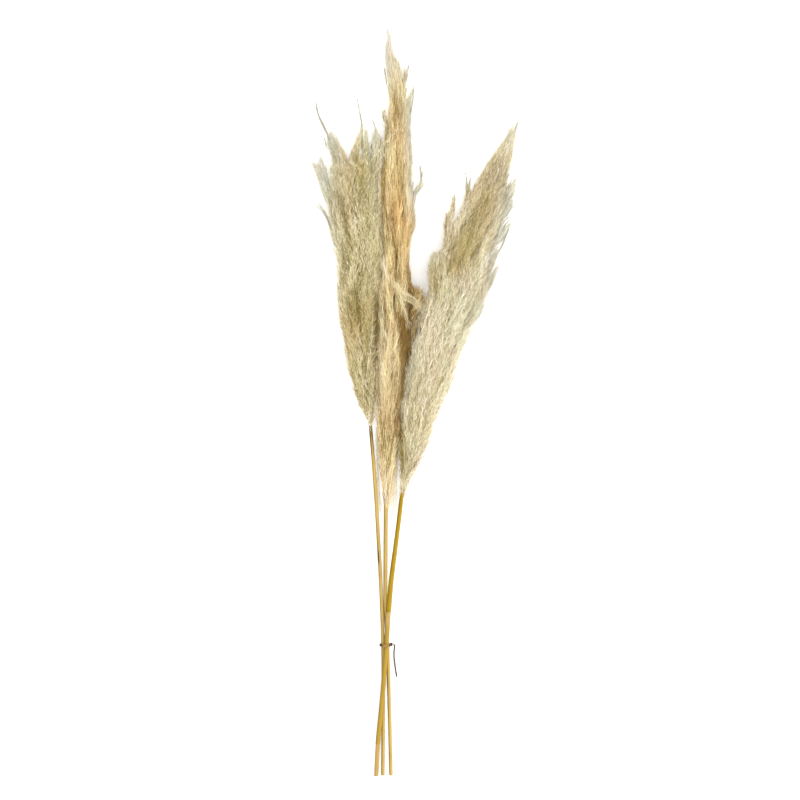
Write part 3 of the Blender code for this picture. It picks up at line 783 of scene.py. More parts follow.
def trefoil_knot():
    """The middle line of the knot."""
    t = round_turns(KNOT_POINTS)
    trefoil = np.column_stack(
        [np.sin(t) + 2 * np.sin(2 * t), np.cos(t) - 2 * np.cos(2 * t), -np.sin(3 * t)]
    )
    return np.array(KNOT) + trefoil * np.array(KNOT_SIZE)


class PAMPAS_OT_tie(bpy.types.Operator):
    """Winds two turns of twine round the stems and knots them"""

    bl_idname = "pampas.tie"
    bl_label = "Tie"

    def execute(self, context):
        settings = context.scene.pampas_twine
        diameter, pitch = settings.diameter / MM, settings.ply_pitch / MM
        loops = [taut_loop(TIE_Y + place * TURN_PITCH, diameter / 2) for place in TURN_PLACES]
        turns = [twisted_twine(loop, diameter, pitch, closed=True) for loop in loops]
        knot = twisted_twine(trefoil_knot(), KNOT_TWINE * diameter, pitch, closed=True)
        points, faces, crown = joined([*turns, knot])
        # Painted light: the turns' upper side is lighter; the knot gets none.
        wear_and_painted_light = band(*TOP_LIGHT_ACROSS, points[:, 0]) * smooth_step(*TOP_LIGHT_ABOVE, points[:, 2])
        wear_and_painted_light[-len(knot[0]):] = 0.0
        twine_object("tie_turns", "tie", points, faces, crown, wear_and_painted_light, settings)
        return {"FINISHED"}


# --- Stems -----------------------------------------------------------------------------------

STEM_SIDES = 20
STEM_STEP = 4.0
EDGE_STEP = 0.6  # from the lower edge's ring to the next
EDGE_THIN = 0.55  # how much of its thickness a sheath has at its lower edge
EDGE_RINGS = 3  # how many rings the lower edge's raggedness fades over
RIB = 0.05  # how far the ribs, and the low waves across them, stand out or in
WAVE_TWIST, WAVES_ROUND = 0.031, 3  # the waves' radians to the millimetre, and how many go round
LAP = (0.86, 0.98)  # where round a sheath its free margin rises, in turns
LAP_TWIST = 0.0006  # turns to the millimetre
# A cut end's rings, from the pith out: (share of the stem's radius, how far along Y from the end).
CUT_RINGS = ((0.68, 0.5), (0.74, -0.1), (0.96, -0.15))
PAINTED_LIGHT_TURN = math.radians(22)  # the side of every stem that is painted lighter, as painted light, from +X to +Z; the other side is painted darker, as painted shade
SHARP_ANGLE = math.radians(50)
SHEATH_THICKNESS = 0.25  # of the lower sheath, which the twine goes round
# Stems and sheaths: (piece, CAD node, path, first Y, last Y, how far it stands over the stem's own
# radius, how ragged its lower edge is, how far its free margin stands over the layer below, slot).
STEM_PIECES = [
    ("stem_left_culm", "stem_left", STEM_LEFT, 0, 470, 0, 0, 0, "straw_stem"),
    ("stem_middle_culm", "stem_middle", STEM_MIDDLE, 0, 372, 0, 0, 0, "straw_stem"),
    ("stem_right_culm", "stem_right", STEM_RIGHT, 0, 392, 0, 0, 0, "golden_sheath"),
    ("stem_right_lower_sheath", "stem_right", STEM_RIGHT, 44, 236, SHEATH_THICKNESS, 1.2, 0.22,
     "golden_sheath"),
    ("stem_right_upper_sheath", "stem_right", STEM_RIGHT, 221, 390, 0.55, 2.6, 0.28,
     "golden_sheath"),
]
# Wear, and painted shade: (piece, attribute, amount, (from Y, to Y, softness), (side, where it
# starts, where it is full)). A side is measured off the stem's middle, towards -X or towards both
# edges.
WEAR_AND_SHADE_SIDES = {"left": np.negative, "edges": np.abs}
ALL_ALONG = (-1000, 1000, 1)
ALL_ROUND = ("left", -1000, -999)
WEAR_AND_SHADE = [
    ("stem_right_culm", "bare", 0.9, ALL_ALONG, ALL_ROUND),
    ("stem_right_lower_sheath", "bare", 0.3, ALL_ALONG, ALL_ROUND),
    ("stem_right_lower_sheath", "bare", 0.65, (203, 240, 6), ALL_ROUND),
    ("stem_right_upper_sheath", "scar_and_shade", 0.9, (214, 222.5, 0.8), ("left", -1.5, 0.5)),
    # Painted shade: the middle culm's left side is darkened where it lies in shade between the
    # stems near the tie.
    ("stem_middle_culm", "scar_and_shade", 0.8, (180, 218, 6), ("left", -0.2, 1.2)),
    ("stem_left_culm", "scar_and_shade", 1.2, (286, 304, 3), ("left", -0.4, 1.2)),
    # The left stem's upper end is darker towards both edges.
    ("stem_left_culm", "scar_and_shade", 0.9, (430, 1000, 15), ("edges", 0.0, 1.6)),
    ("stem_left_culm", "scar_and_shade", 0.5, (454, 1000, 8), ALL_ROUND),
]
# The stems' colours: how much the streaks, the mottle and the painted side light lighten them (that
# light also darkens the far side as painted shade, and lifts the lit side towards the bright colour
# as a painted highlight), where on that scale their dark, own and bright colours are, how the
# bright one is made, and how dark a bare place is.
STREAK_LIGHT, MOTTLE_LIGHT, SIDE_LIGHT_PAINTED = 0.75, 0.35, 0.36
STRAW_PLACES = (0.24, 0.62, 0.98)
BRIGHT_GAIN, BRIGHT_LIFT = 1.3, 0.01
BARE_SHADE = 0.55
SCAR_EVEN = 0.35  # how much of the scars and the painted shade is the same in every streak


def stem_axis(path):
    """A Curve of a stem's middle x and z and its radius along Y."""
    return Curve([(y, x, z, radius) for x, y, z, radius in path])


def stem_rings(axis, first, last, extra, ragged_edge, lap_height, seed):
    """Rings of a length of stem or sheath, with ribs along it."""
    random = np.random.default_rng(seed)
    turns = round_turns(STEM_SIDES)
    stations = np.linspace(first, last, 2 + round((last - first) / STEM_STEP))
    stations = np.insert(stations, 1, stations[0] + EDGE_STEP)
    ragged = ragged_edge * random.uniform(-1, 1, STEM_SIDES)
    ribs = random.uniform(-RIB, RIB, STEM_SIDES)
    rings = []
    for n, y in enumerate(stations):
        keys = y + ragged * max(0.0, 1 - n / EDGE_RINGS)
        x, z, radius = axis(keys).T
        thin = EDGE_THIN if n == 0 else 1.0
        wave = RIB * np.sin(WAVE_TWIST * keys + WAVES_ROUND * turns)
        lap = smooth_step(*LAP, (turns / (2 * math.pi) + LAP_TWIST * (y - first)) % 1.0)
        reach = radius + ribs + extra * thin + wave + lap_height * lap
        rings.append(np.column_stack([x + reach * np.cos(turns), keys, z + reach * np.sin(turns)]))
    return np.array(rings)


def cut_end(rings):
    """The rings with a rim and a sunken pith added at the lower, cut end."""
    middle = rings[0].mean(axis=0)
    added = [middle + (rings[0] - middle) * share + (0, y, 0) for share, y in CUT_RINGS]
    return np.concatenate([added, rings])


def stem_material(name, light, dark, settings):
    """Straw with fine streaks along it, painted side light and shade, bare places, scars, painted
    shade between the stems, and pith at its end.
    """
    made, tree, shader = new_material(name, roughness=0.5, specular=0.15)
    streak = object_noise(tree, 700.0, along=0.035, detail=4.0, roughness=0.65)
    mottle = object_noise(tree, 60.0, along=0.4)
    mottled = maths(tree, "MULTIPLY", mottle, MOTTLE_LIGHT)
    factor = maths(tree, "MULTIPLY_ADD", streak, STREAK_LIGHT, mottled)
    factor = maths(tree, "MULTIPLY_ADD", attribute(tree, "painted_side_light"), SIDE_LIGHT_PAINTED, factor)
    bright = tuple(min(1.0, BRIGHT_GAIN * share + BRIGHT_LIFT) for share in light)
    colour = ramp(tree, factor, list(zip(STRAW_PLACES, (dark, light, bright))))
    bare = mix_colours(tree, factor, lit(settings.bare, BARE_SHADE), settings.bare)
    colour = mix_colours(tree, attribute(tree, "bare"), colour, bare)
    uneven = maths(tree, "ADD", streak, SCAR_EVEN)
    stained_and_shaded = maths(tree, "MULTIPLY", attribute(tree, "scar_and_shade"), uneven)
    colour = mix_colours(tree, stained_and_shaded, colour, settings.scar_and_shade)
    colour = mix_colours(tree, attribute(tree, "pith"), colour, settings.pith)
    set_inputs(tree, shader, {"Base Color": colour})
    vary_roughness(tree, shader, mottle, 0.38, 0.62)
    add_bump(tree, shader, streak, strength=0.35, distance=0.0003)
    return made


class PAMPAS_OT_stems(bpy.types.Operator):
    """Makes the two straw stems, and the golden one with its leaf sheaths"""

    bl_idname = "pampas.stems"
    bl_label = "Stems"

    def execute(self, context):
        settings = context.scene.pampas_stems
        shades = {
            "straw_stem": (settings.straw, settings.straw_dark),
            "golden_sheath": (settings.gold, settings.gold_dark),
        }
        materials = {name: stem_material(name, *pair, settings) for name, pair in shades.items()}
        # Painted light and shade round each stem: one side lighter, the other darker.
        painted_light_round = np.cos(round_turns(STEM_SIDES) - PAINTED_LIGHT_TURN)
        for n, (name, node, path, first, last, extra, ragged, lap, slot) in enumerate(STEM_PIECES):
            axis = stem_axis(path)
            rings = stem_rings(axis, first, last, extra, ragged, lap, seed=n)
            is_cut = first == 0
            if is_cut:
                rings = cut_end(rings)
            points, faces = tube(rings)
            obj = shell_object(name, in_frame(points), faces)
            pith = np.zeros(len(points))
            if is_cut:
                pith[:len(CUT_RINGS) * STEM_SIDES] = 1.0
                pith[-2] = 1.0
            y = points[:, 1]
            across = points[:, 0] - axis(y)[:, 0]
            wear_and_painted_light = {"bare": np.zeros(len(points)), "scar_and_shade": np.zeros(len(points))}
            for piece, key, amount, along, (side, start, full) in WEAR_AND_SHADE:
                if piece == name:
                    sided = smooth_step(start, full, WEAR_AND_SHADE_SIDES[side](across))
                    wear_and_painted_light[key] += amount * band(*along, y) * sided
            set_floats(obj, "painted_side_light", np.append(np.tile(painted_light_round, len(rings)), [0.0, 0.0]))
            for key, values in wear_and_painted_light.items():
                set_floats(obj, key, values)
            set_floats(obj, "pith", pith)
            finish_piece(obj, node, materials[slot])
            obj.data.set_sharp_from_angle(angle=SHARP_ANGLE)
        return {"FINISHED"}


# --- Plumes ----------------------------------------------------------------------------------

RACEME_POINTS = 9  # of a branch
SECTION_POWER = 2 / 2.6  # a section is a little squarer than an ellipse
TOPWARD = 0.38  # how far locks at the sides are turned to the upper side, in radians
FLOOR_CLEARANCE = 0.25  # the lowest Z of a spikelet

# Locks: where on a body they grow.
ROOTED_SHARE = 0.9  # the share of a body's length that they grow on
ROOT_ROWS = 200
ROOT_FOOTHOLD = 8.0  # added to a section's reach, so that its narrow stretches get locks too
YOUNG_LENGTH = 90.0  # from the foot to where the locks have their full length
LOCK_AT_FOOT = 0.62  # the share of it that they have at the foot
SHORTEST_LOCK = 12.0
RACEMES = 8  # how many branches a lock of a body has
# How locks differ, as the least and the most of each, with turns in radians.
LOCK_LENGTH = (54.0, 100.0)
LOCK_SHORT = (0.0, 30.0)  # how far below the top they stop
LOCK_TURN = (-0.3, 0.3)
LOCK_TWIST = (-0.25, 0.25)
LOCK_REACH = (0.93, 1.02)  # as a share of the section
LOCK_TINT = (0.5, 0.11)  # the middle and the spread
LOCK_TINT_LIMITS = (0.1, 0.9)
# How the branches of one lock differ.
BRANCH_TURN = (-0.34, 0.34)
BRANCH_GATHER = 0.65  # the share of that turn which is gone at the tip
BRANCH_Y = (-9, 9)
BRANCH_DEPTH = (-0.22, 0.0)  # as a share of the section
BRANCH_RISE = 0.4  # the share of that depth which is gone at the tip
BRANCH_LENGTH = (0.7, 1.04)  # as a share of the lock's
SHORTEST_BRANCH = 6
LOWEST_TIP = 10  # over the body's foot
WANDER = 0.06  # how far it wanders round the plume, in radians, in a wave
WANDER_TURNS = (3, 8)
WANDER_START = (0, 6)
STRAND_TINTS = (-0.34, -0.1, 0.0, 0.08, 0.3)  # how some branches are darker or lighter than most
STRAND_TINT_DRIFT = (-0.08, 0.08)
OUTER_PAINTED_LIGHT = 0.6  # how much lighter a branch is the further out it stands, and darker the further in: painted light and shade
EVEN_SHARE = 0.9  # the share of the section where that is nothing
# How far out of the section's middle a branch is, from its root to its tip.
LOCK_SHARES = Curve([(0.0, 0.58), (0.34, 0.82), (0.7, 0.94), (1.0, 1.0)])

# Lobes: their locks' branches, the least and the most length as shares of the lobe's, and how much
# further than the others some stop below the tip.
LOBE_RACEMES = 7
LOBE_LENGTHS = (0.35, 0.7)
LOBE_SHORT = 8

# Flyaway branches.
FLYAWAY_ENDS = (12, 40)  # how far they root from the body's foot and from its top
FLYAWAY_TURN = (-0.3, 0.3)
FLYAWAY_LENGTH = (18, 42)
FLYAWAY_OUT = (1.5, 5.0)  # how far their tips lean out
FLYAWAY_CURL = 1.5  # the power by which they lean out more towards the tip
FLYAWAY_SHARES = (0.84, 0.96)  # of the section, at the root and at the tip
FLYAWAY_TINT = (0.2, 0.6)

# Single branches: each kind's tint, and how much further their strands spread in Y than in X and Z.
SINGLE_TINTS = {"whiskers": -0.1, "strays": 0.85, "wisps": 0.6}
STRAND_SPREAD = (1, 2, 1)


class Kind(NamedTuple):
    """How the spikelets on one kind of branch are."""

    takes_bleach: float  # the share of the patches' bleach that they take
    bleach: float  # what they have of their own
    sizes: tuple  # at the branch's root and at its tip
    loose: float  # how far they scatter and lean, as a share


KINDS = {
    "locks": Kind(1.0, 0.0, (1.0, 0.72), 1.0),
    "lobes": Kind(1.0, 0.0, (0.95, 0.6), 0.75),
    "flyaways": Kind(0.5, 0.0, (0.8, 0.5), 0.6),
    "whiskers": Kind(0.0, 0.85, (1.2, 0.45), 0.25),
    "strays": Kind(0.0, 0.3, (0.5, 0.42), 1.0),
    "wisps": Kind(0.0, 0.95, (0.7, 0.45), 1.0),
}

# The spikelet: its points, faces and the places of its points in its half of a UV cell, and the
# least and the most share of the settings' width and length that one has.
SPIKELET_POINTS = ((0, 0.12, 0), (0.5, -0.22, 0.36), (-0.5, -0.22, 0.36), (0, 0.32, 1))
SPIKELET_FACES = ((0, 1, 2), (1, 3, 2), (0, 3, 1), (0, 2, 3))
SPIKELET_UV = ((0.1, 0.5), (0.4, 0.92), (0.4, 0.08), (0.9, 0.5))
SPIKELET_WIDTHS = (0.7, 1.3)
SPIKELET_LENGTHS = (0.65, 1.25)
LAST_SPIKELET = 0.45  # how much of its last spikelet a branch stops short of its tip
# What is set on the branches: (layer, its settings, how far it scatters off the branch, in metres,
# how much it varies in tint, what it adds to the seed, how much lighter it is).
LAYERS = (
    ("spikelets", "spikelet", 0.0014, 0.25, 0, 0.0),
    ("hairs", "hair", 0.0022, 0.2, 100, 0.1),
)

# The heart: its shape, and its lumps as (height, radians to the millimetre, how many go round).
HEART_SIDES, HEART_RINGS = 24, 60
HEART_SHARE = 0.66  # of the plume's section
HEART_START, HEART_END = 22, 0.88  # from the foot, and as a share of the plume's length
HEART_TAPERS = (50, 40)  # the lengths in which it widens and narrows
HEART_TIP = 0.1  # how much of its width is left at its ends
HEART_LUMPS = ((0.08, 0.21, 3), (0.05, 0.37, -5))
HEART_FLOOR = 1.5  # its lowest Z

# The spikelets' colours: what their tint is made of, and the lights of their pale and accent
# colours as (tint, light), which are darker and lighter copies of each: painted shade and light
# that follow the tint.
TINT_ALONG, TINT_MOTTLE, TINT_FLECK = 0.22, 0.45, 1.3
TINT_LEVEL = 0.97  # taken off, so that an even tint stays what it is
ACCENT_LIGHTS = ((0.15, 0.6), (0.5, 1.0), (0.9, 1.5))
ACCENT_COVER = 0.7
BLEACH_LIGHTS = ((0.0, 0.66), (0.5, 0.94), (1.0, 1.0))
BLUSH = ((0.38, (0.97, 1.0, 0.93)), (0.64, (1.0, 0.94, 0.92)))
BLUSH_COVER = 0.6
# The bleached side of a plume: the shares of its half width where it starts and is full, how much
# it is, and what is added to the half width.
PALE_SHARES = (0.78, 1.05)
PALE_BLEACH = 0.5
PALE_MARGIN = 2

# What each plume has of its own: its locks, its flyaway branches, how much its branches differ, how
# light its heart is (its heart's colours are darkened by this, as painted shade), its seed, its
# spikelets' length, width and lean as shares of the settings, and the side that is bleached: -1 is
# the left, 1 the right and 0 neither.
PLUMES = {
    "plume_left": {
        "table": PLUME_LEFT, "slot": "khaki_plume", "locks": 160, "flyaways": 150,
        "strands": 1.15, "heart": 0.62, "seed": 11, "spikelet": (1.0, 0.9, 1.15),
        "pale_side": -1,
    },
    "plume_middle": {
        "table": PLUME_MIDDLE, "slot": "golden_plume", "locks": 160, "flyaways": 140,
        "strands": 1.25, "heart": 0.45, "seed": 23, "spikelet": (1.9, 0.95, 0.4),
        "pale_side": 0,
    },
    "plume_right": {
        "table": PLUME_RIGHT, "slot": "cream_plume", "locks": 168, "flyaways": 170,
        "strands": 0.5, "heart": 0.85, "seed": 37, "spikelet": (1.15, 0.95, 0.9),
        "pale_side": 1,
    },
}
# Colours of each plume: deep, its darker tones and the painted shade between the locks, its own,
# light, its paler tones and its painted light, bleached, and its accent.
PLUME_COLOURS = {
    "plume_left": [
        srgb(134, 112, 46), srgb(220, 206, 152), srgb(250, 242, 214), srgb(228, 224, 206),
        srgb(178, 150, 70),
    ],
    "plume_middle": [
        srgb(138, 104, 30), srgb(231, 209, 150), srgb(252, 242, 204), srgb(234, 230, 214),
        srgb(214, 168, 74),
    ],
    "plume_right": [
        srgb(166, 145, 88), srgb(235, 224, 191), srgb(252, 247, 230), srgb(228, 227, 210),
        srgb(186, 163, 80),
    ],
}
# Patches of colour: (attribute, x, y, reach across, reach along, amount). The attributes are how
# deep, bleached and accented a place is, and a patch that is less deep is lighter. Deep patches are
# partly the plume's own darker tone and partly painted shade, and the less deep ones partly painted
# light where a plume's edge lies in shade.
PATCHES = {
    "plume_left": [
        ("accent", -30, 615, 16, 34, 0.8), ("accent", -46, 596, 12, 36, 0.4),
        ("accent", -44, 500, 14, 34, 0.4), ("accent", -32, 794, 5, 26, 0.6),
        ("bleach", -66, 700, 11, 110, 0.5), ("bleach", -70, 850, 26, 36, 0.7),
        ("bleach", -12, 866, 12, 30, 0.9), ("bleach", -92, 806, 18, 34, 1.0),
        ("accent", -34, 812, 9, 26, 0.35), ("bleach", -26, 856, 10, 24, 0.5),
        ("bleach", -10, 800, 9, 50, 0.35), ("deep", -26, 850, 14, 24, -0.15),
        ("deep", -40, 700, 60, 200, -0.07), ("deep", -5, 700, 5, 110, -0.6),
        ("deep", -10, 640, 20, 160, -0.05), ("accent", -5, 660, 6, 150, 0.6),
    ],
    "plume_middle": [
        ("accent", 21, 738, 12, 66, 0.65), ("accent", 18, 850, 8, 70, 0.3),
        ("accent", 4, 520, 12, 100, 0.25), ("deep", 17, 684, 18, 48, -0.22),
        ("deep", 14, 890, 18, 60, -0.12), ("deep", 20, 755, 12, 36, 0.06),
        ("accent", -1, 780, 5, 46, 0.7), ("bleach", 33, 862, 9, 84, 1.0),
        ("bleach", -6, 560, 7, 80, 0.3), ("bleach", 8, 530, 12, 60, 0.2),
        ("bleach", 41, 768, 11, 36, 0.85), ("bleach", 2, 362, 24, 26, 0.15),
        ("bleach", 5, 975, 20, 50, 0.9), ("bleach", 4, 900, 5, 60, 0.4),
        ("deep", 7, 385, 10, 30, -0.3), ("bleach", 10, 925, 14, 26, 0.3),
        ("deep", 2, 570, 12, 90, -0.2),
    ],
    "plume_right": [
        ("deep", 145, 800, 24, 46, 0.15), ("bleach", 158, 700, 18, 110, 0.6),
        ("bleach", 34, 590, 10, 40, 0.5), ("accent", 140, 800, 20, 50, 0.2),
        ("bleach", 62, 694, 10, 12, 0.4), ("deep", 60, 520, 34, 60, -0.12),
        ("bleach", 120, 600, 30, 60, 0.4), ("bleach", 166, 856, 14, 20, 0.5),
        ("deep", 111, 796, 6, 18, 0.35), ("deep", 90, 766, 6, 16, 0.35),
        ("deep", 81, 745, 5, 14, 0.3),
    ],
}
# Streaks of colour along a line: (attribute, x, y, x, y, reach, amount). The deep streaks are
# painted shade: dark lines in the gaps between locks and between the plumes, and the right plume's
# shadow along the middle one's right side.
STREAKS = {
    "plume_left": [
        ("deep", -58, 768, -43, 698, 2.0, 0.55), ("accent", -58, 768, -43, 698, 3.0, 0.5),
        ("deep", -54, 664, -43, 638, 1.8, 0.45), ("deep", -9, 694, -6, 650, 1.8, 0.5),
        ("deep", -11.5, 640, -10.5, 574, 2.4, 1.1), ("deep", -47, 632, -38, 606, 2.0, 0.5),
        ("deep", -39, 644, -33, 600, 2.6, 0.45), ("deep", -13, 560, -14.5, 500, 2.0, 0.5),
        ("deep", -19, 842, -17, 800, 1.8, 0.4),
    ],
    "plume_middle": [
        ("deep", 20, 604, 24, 556, 4.5, 0.95), ("deep", 24, 556, 19, 428, 4.5, 0.95),
        ("accent", 24, 590, 19, 420, 6.0, 0.35), ("deep", 33, 676, 48, 638, 8.0, 0.6),
        ("accent", 33, 676, 48, 638, 8.0, 0.4), ("deep", 30, 640, 28, 550, 6.0, 0.5),
        ("deep", 9, 654, 10, 642, 2.2, 0.6), ("accent", 9, 656, 10, 640, 3.0, 0.8),
        ("deep", -9, 636, -8.6, 580, 1.4, 1.0), ("deep", 2, 640, 3, 590, 1.6, 0.5),
        ("deep", 10, 598, 8, 520, 1.6, 0.5), ("deep", 13, 690, 15, 660, 1.8, 0.4),
    ],
    "plume_right": [
        ("accent", 100, 680, 135, 766, 17.0, 0.8), ("accent", 88, 668, 104, 712, 9.0, 0.5),
        ("deep", 116, 742, 130, 764, 6.0, 0.1),
        ("deep", 86, 676, 94, 700, 5.0, 0.25), ("deep", 108, 726, 116, 738, 4.0, 0.35),
        ("accent", 27, 530, 36, 600, 5.0, 0.5), ("accent", 66, 668, 70, 640, 7.0, 0.6),
        ("deep", 70, 700, 76, 672, 2.0, 0.4),
        ("accent", 24, 462, 23, 400, 5.0, 0.9), ("deep", 23, 460, 23, 400, 4.0, 0.3),
        ("deep", 132, 760, 150, 800, 2.0, 0.4), ("deep", 118, 690, 136, 730, 2.0, 0.35),
    ],
}


class Body:
    """A form between two sides along Y, which branches grow round."""

    def __init__(self, rows):
        self.rows = Curve(rows)
        self.foot, self.top = self.rows.keys[0], self.rows.keys[-1]

    def sizes(self, y):
        """The middle x, half width, middle z and half height at y."""
        left, right, z, half_height = np.moveaxis(self.rows(y), -1, 0)
        return (left + right) / 2, (right - left) / 2, z, half_height

    def at(self, y, share, turn):
        """Points at these shares of the section, turned round its middle from +X."""
        x, half_width, z, half_height = self.sizes(y)
        across, up = np.cos(turn), np.sin(turn)
        across = np.sign(across) * np.abs(across) ** SECTION_POWER
        up = np.sign(up) * np.abs(up) ** SECTION_POWER
        return np.stack([x + share * half_width * across, y, z + share * half_height * up], -1)


def off_floor(points, lowest=1.0):
    """The points, each of them lifted to this Z where it is lower."""
    points[..., 2] = np.maximum(points[..., 2], lowest)
    return points


def lobe_body(rows, root, tip):
    """A Body of a lobe, whose middle z and half height run from the root's to the tip's."""
    first, last = rows[0][0], rows[-1][0]
    table = []
    for y, left, right in rows:
        t = (y - first) / (last - first)
        table.append((y, left, right, *(a + (b - a) * t for a, b in zip(root, tip))))
    return Body(table)


def lock_racemes(body, random, locks, count, lengths, short, strands, crown=None):
    """Branches in locks round a body, denser where it is broader. Returns points and tints.

    count is how many branches a lock has, short the least and the most by which it stops below the
    body's top, and strands how much its branches differ in tint.
    """
    length = body.top - body.foot
    rows = np.linspace(body.foot, body.foot + ROOTED_SHARE * length, ROOT_ROWS)
    _, half_width, _, half_height = body.sizes(rows)
    weight = np.cumsum(ROOT_FOOTHOLD + half_width + half_height)
    lock_y = np.interp((np.arange(locks) + 0.5) / locks, weight / weight[-1], rows)
    lock_turn = np.arange(locks) * GOLDEN_ANGLE + random.uniform(*LOCK_TURN, locks)
    lock_turn = lock_turn + TOPWARD * np.cos(lock_turn)
    young = np.clip((lock_y - body.foot) / YOUNG_LENGTH, 0, 1)
    lock_length = random.uniform(*lengths, locks) * (LOCK_AT_FOOT + (1 - LOCK_AT_FOOT) * young)
    lock_end = np.minimum(lock_y + lock_length, body.top - random.uniform(*short, locks))
    lock_length = np.maximum(lock_end - lock_y, SHORTEST_LOCK)
    reach = random.uniform(*LOCK_REACH, locks)
    twist = random.uniform(*LOCK_TWIST, locks)
    tint = np.clip(random.normal(*LOCK_TINT, locks), *LOCK_TINT_LIMITS)

    s = np.linspace(0, 1, RACEME_POINTS)[None, None, :]
    shape = (locks, count, 1)
    off_turn = random.uniform(*BRANCH_TURN, shape) * (1 - BRANCH_GATHER * s)
    off_y = random.uniform(*BRANCH_Y, shape)
    off_share = random.uniform(*BRANCH_DEPTH, shape) * (1 - BRANCH_RISE * s)
    own_length = lock_length[:, None, None] * random.uniform(*BRANCH_LENGTH, shape)
    start = np.maximum(lock_y[:, None, None] + off_y, body.foot)
    end = np.minimum(start + own_length, max(body.top - short[0], body.foot + LOWEST_TIP))
    start = np.minimum(start, end - SHORTEST_BRANCH)
    y = start + s * (end - start)
    share = LOCK_SHARES(s)[..., 0] * reach[:, None, None] + off_share
    wander = WANDER * np.sin(
        s * random.uniform(*WANDER_TURNS, shape) + random.uniform(*WANDER_START, shape)
    )
    turn = lock_turn[:, None, None] + twist[:, None, None] * s + off_turn + wander
    points = body.at(y, share, turn)
    if crown:
        # Where the plume ends in lobes, a branch that would pass its crown is pulled back.
        over = np.maximum(0.0, y[..., -1:] - crown(points[..., -1:, 0])[..., 0])
        points = body.at(y - over * s, share, turn)
    strand = random.choice(STRAND_TINTS, shape) + random.uniform(*STRAND_TINT_DRIFT, shape)
    # Painted shade and light: branches deep in the plume are darker, outer ones lighter.
    light = OUTER_PAINTED_LIGHT * (share - EVEN_SHARE)
    tints = tint[:, None, None] + strands * strand + light
    n = locks * count
    return off_floor(points).reshape(n, RACEME_POINTS, 3), tints.reshape(n, RACEME_POINTS)


def lobe_racemes(lobes, random, strands, trim):
    """Branches of all the lobes of a plume, which stop at least trim below their tips."""
    made = []
    for rows, root, tip, locks in lobes:
        body = lobe_body(rows, root, tip)
        lengths = [share * (body.top - body.foot) for share in LOBE_LENGTHS]
        short = (trim, trim + LOBE_SHORT)
        made.append(lock_racemes(body, random, locks, LOBE_RACEMES, lengths, short, strands))
    return [np.concatenate(arrays) for arrays in zip(*made)]


def flyaway_racemes(body, random, count):
    """Short thin branches that lean out of the plume all round, and break its outline."""
    s = np.linspace(0, 1, RACEME_POINTS)[None, :]
    shape = (count, 1)
    foot, top = FLYAWAY_ENDS
    y = random.uniform(body.foot + foot, body.top - top, shape)
    turn = random.uniform(0, 2 * math.pi, shape) + random.uniform(*FLYAWAY_TURN, shape) * s
    length = random.uniform(*FLYAWAY_LENGTH, shape)
    _, half_width, _, half_height = body.sizes(y)
    out = random.uniform(*FLYAWAY_OUT, shape) * s**FLYAWAY_CURL
    root, tip = FLYAWAY_SHARES
    share = root + (tip - root) * s
    reach = 1 + out / (share * (half_width + half_height) / 2 + 1)
    points = body.at(y + length * s, share * reach, turn)
    tints = random.uniform(*FLYAWAY_TINT, shape) + 0 * s
    return off_floor(points), tints


def single_racemes(rows, random, tint, trim):
    """Branches through given points, each of a few strands, which stop trim below their tips."""
    paths = []
    for points, strands, spread in rows:
        route = arc_curve(points)
        path = route(np.linspace(0, route.keys[-1] - trim, RACEME_POINTS))
        for _ in range(strands):
            ends = random.normal(0, spread, (2, 3)) * np.array(STRAND_SPREAD)
            shift = ends[0] + np.linspace(0, 1, RACEME_POINTS)[:, None] * (ends[1] - ends[0])
            paths.append(path + shift)
    return off_floor(np.array(paths)), np.full((len(paths), RACEME_POINTS), tint)


def painted(name, body, points):
    """The plume's colour at the points: how deep (partly painted shade), bleached and accented they
    are.
    """
    x, y = points[..., 0], points[..., 1]
    middle, half_width, _, _ = body.sizes(y)
    edge = PLUMES[name]["pale_side"] * (x - middle) / (half_width + PALE_MARGIN)
    amounts = {"deep": 0.0 * x, "accent": 0.0 * x}
    amounts["bleach"] = PALE_BLEACH * smooth_step(*PALE_SHARES, edge)
    for key, x0, y0, x1, y1, reach, amount in STREAKS[name]:
        run_x, run_y = x1 - x0, y1 - y0
        share = np.clip(((x - x0) * run_x + (y - y0) * run_y) / (run_x**2 + run_y**2), 0, 1)
        gap = np.hypot(x - x0 - share * run_x, y - y0 - share * run_y)
        amounts[key] = amounts[key] + amount * np.exp(-((gap / reach) ** 2))
    for key, px, py, across, along, amount in PATCHES[name]:
        far = -(((x - px) / across) ** 2) - ((y - py) / along) ** 2
        amounts[key] = amounts[key] + amount * np.exp(far)
    return amounts


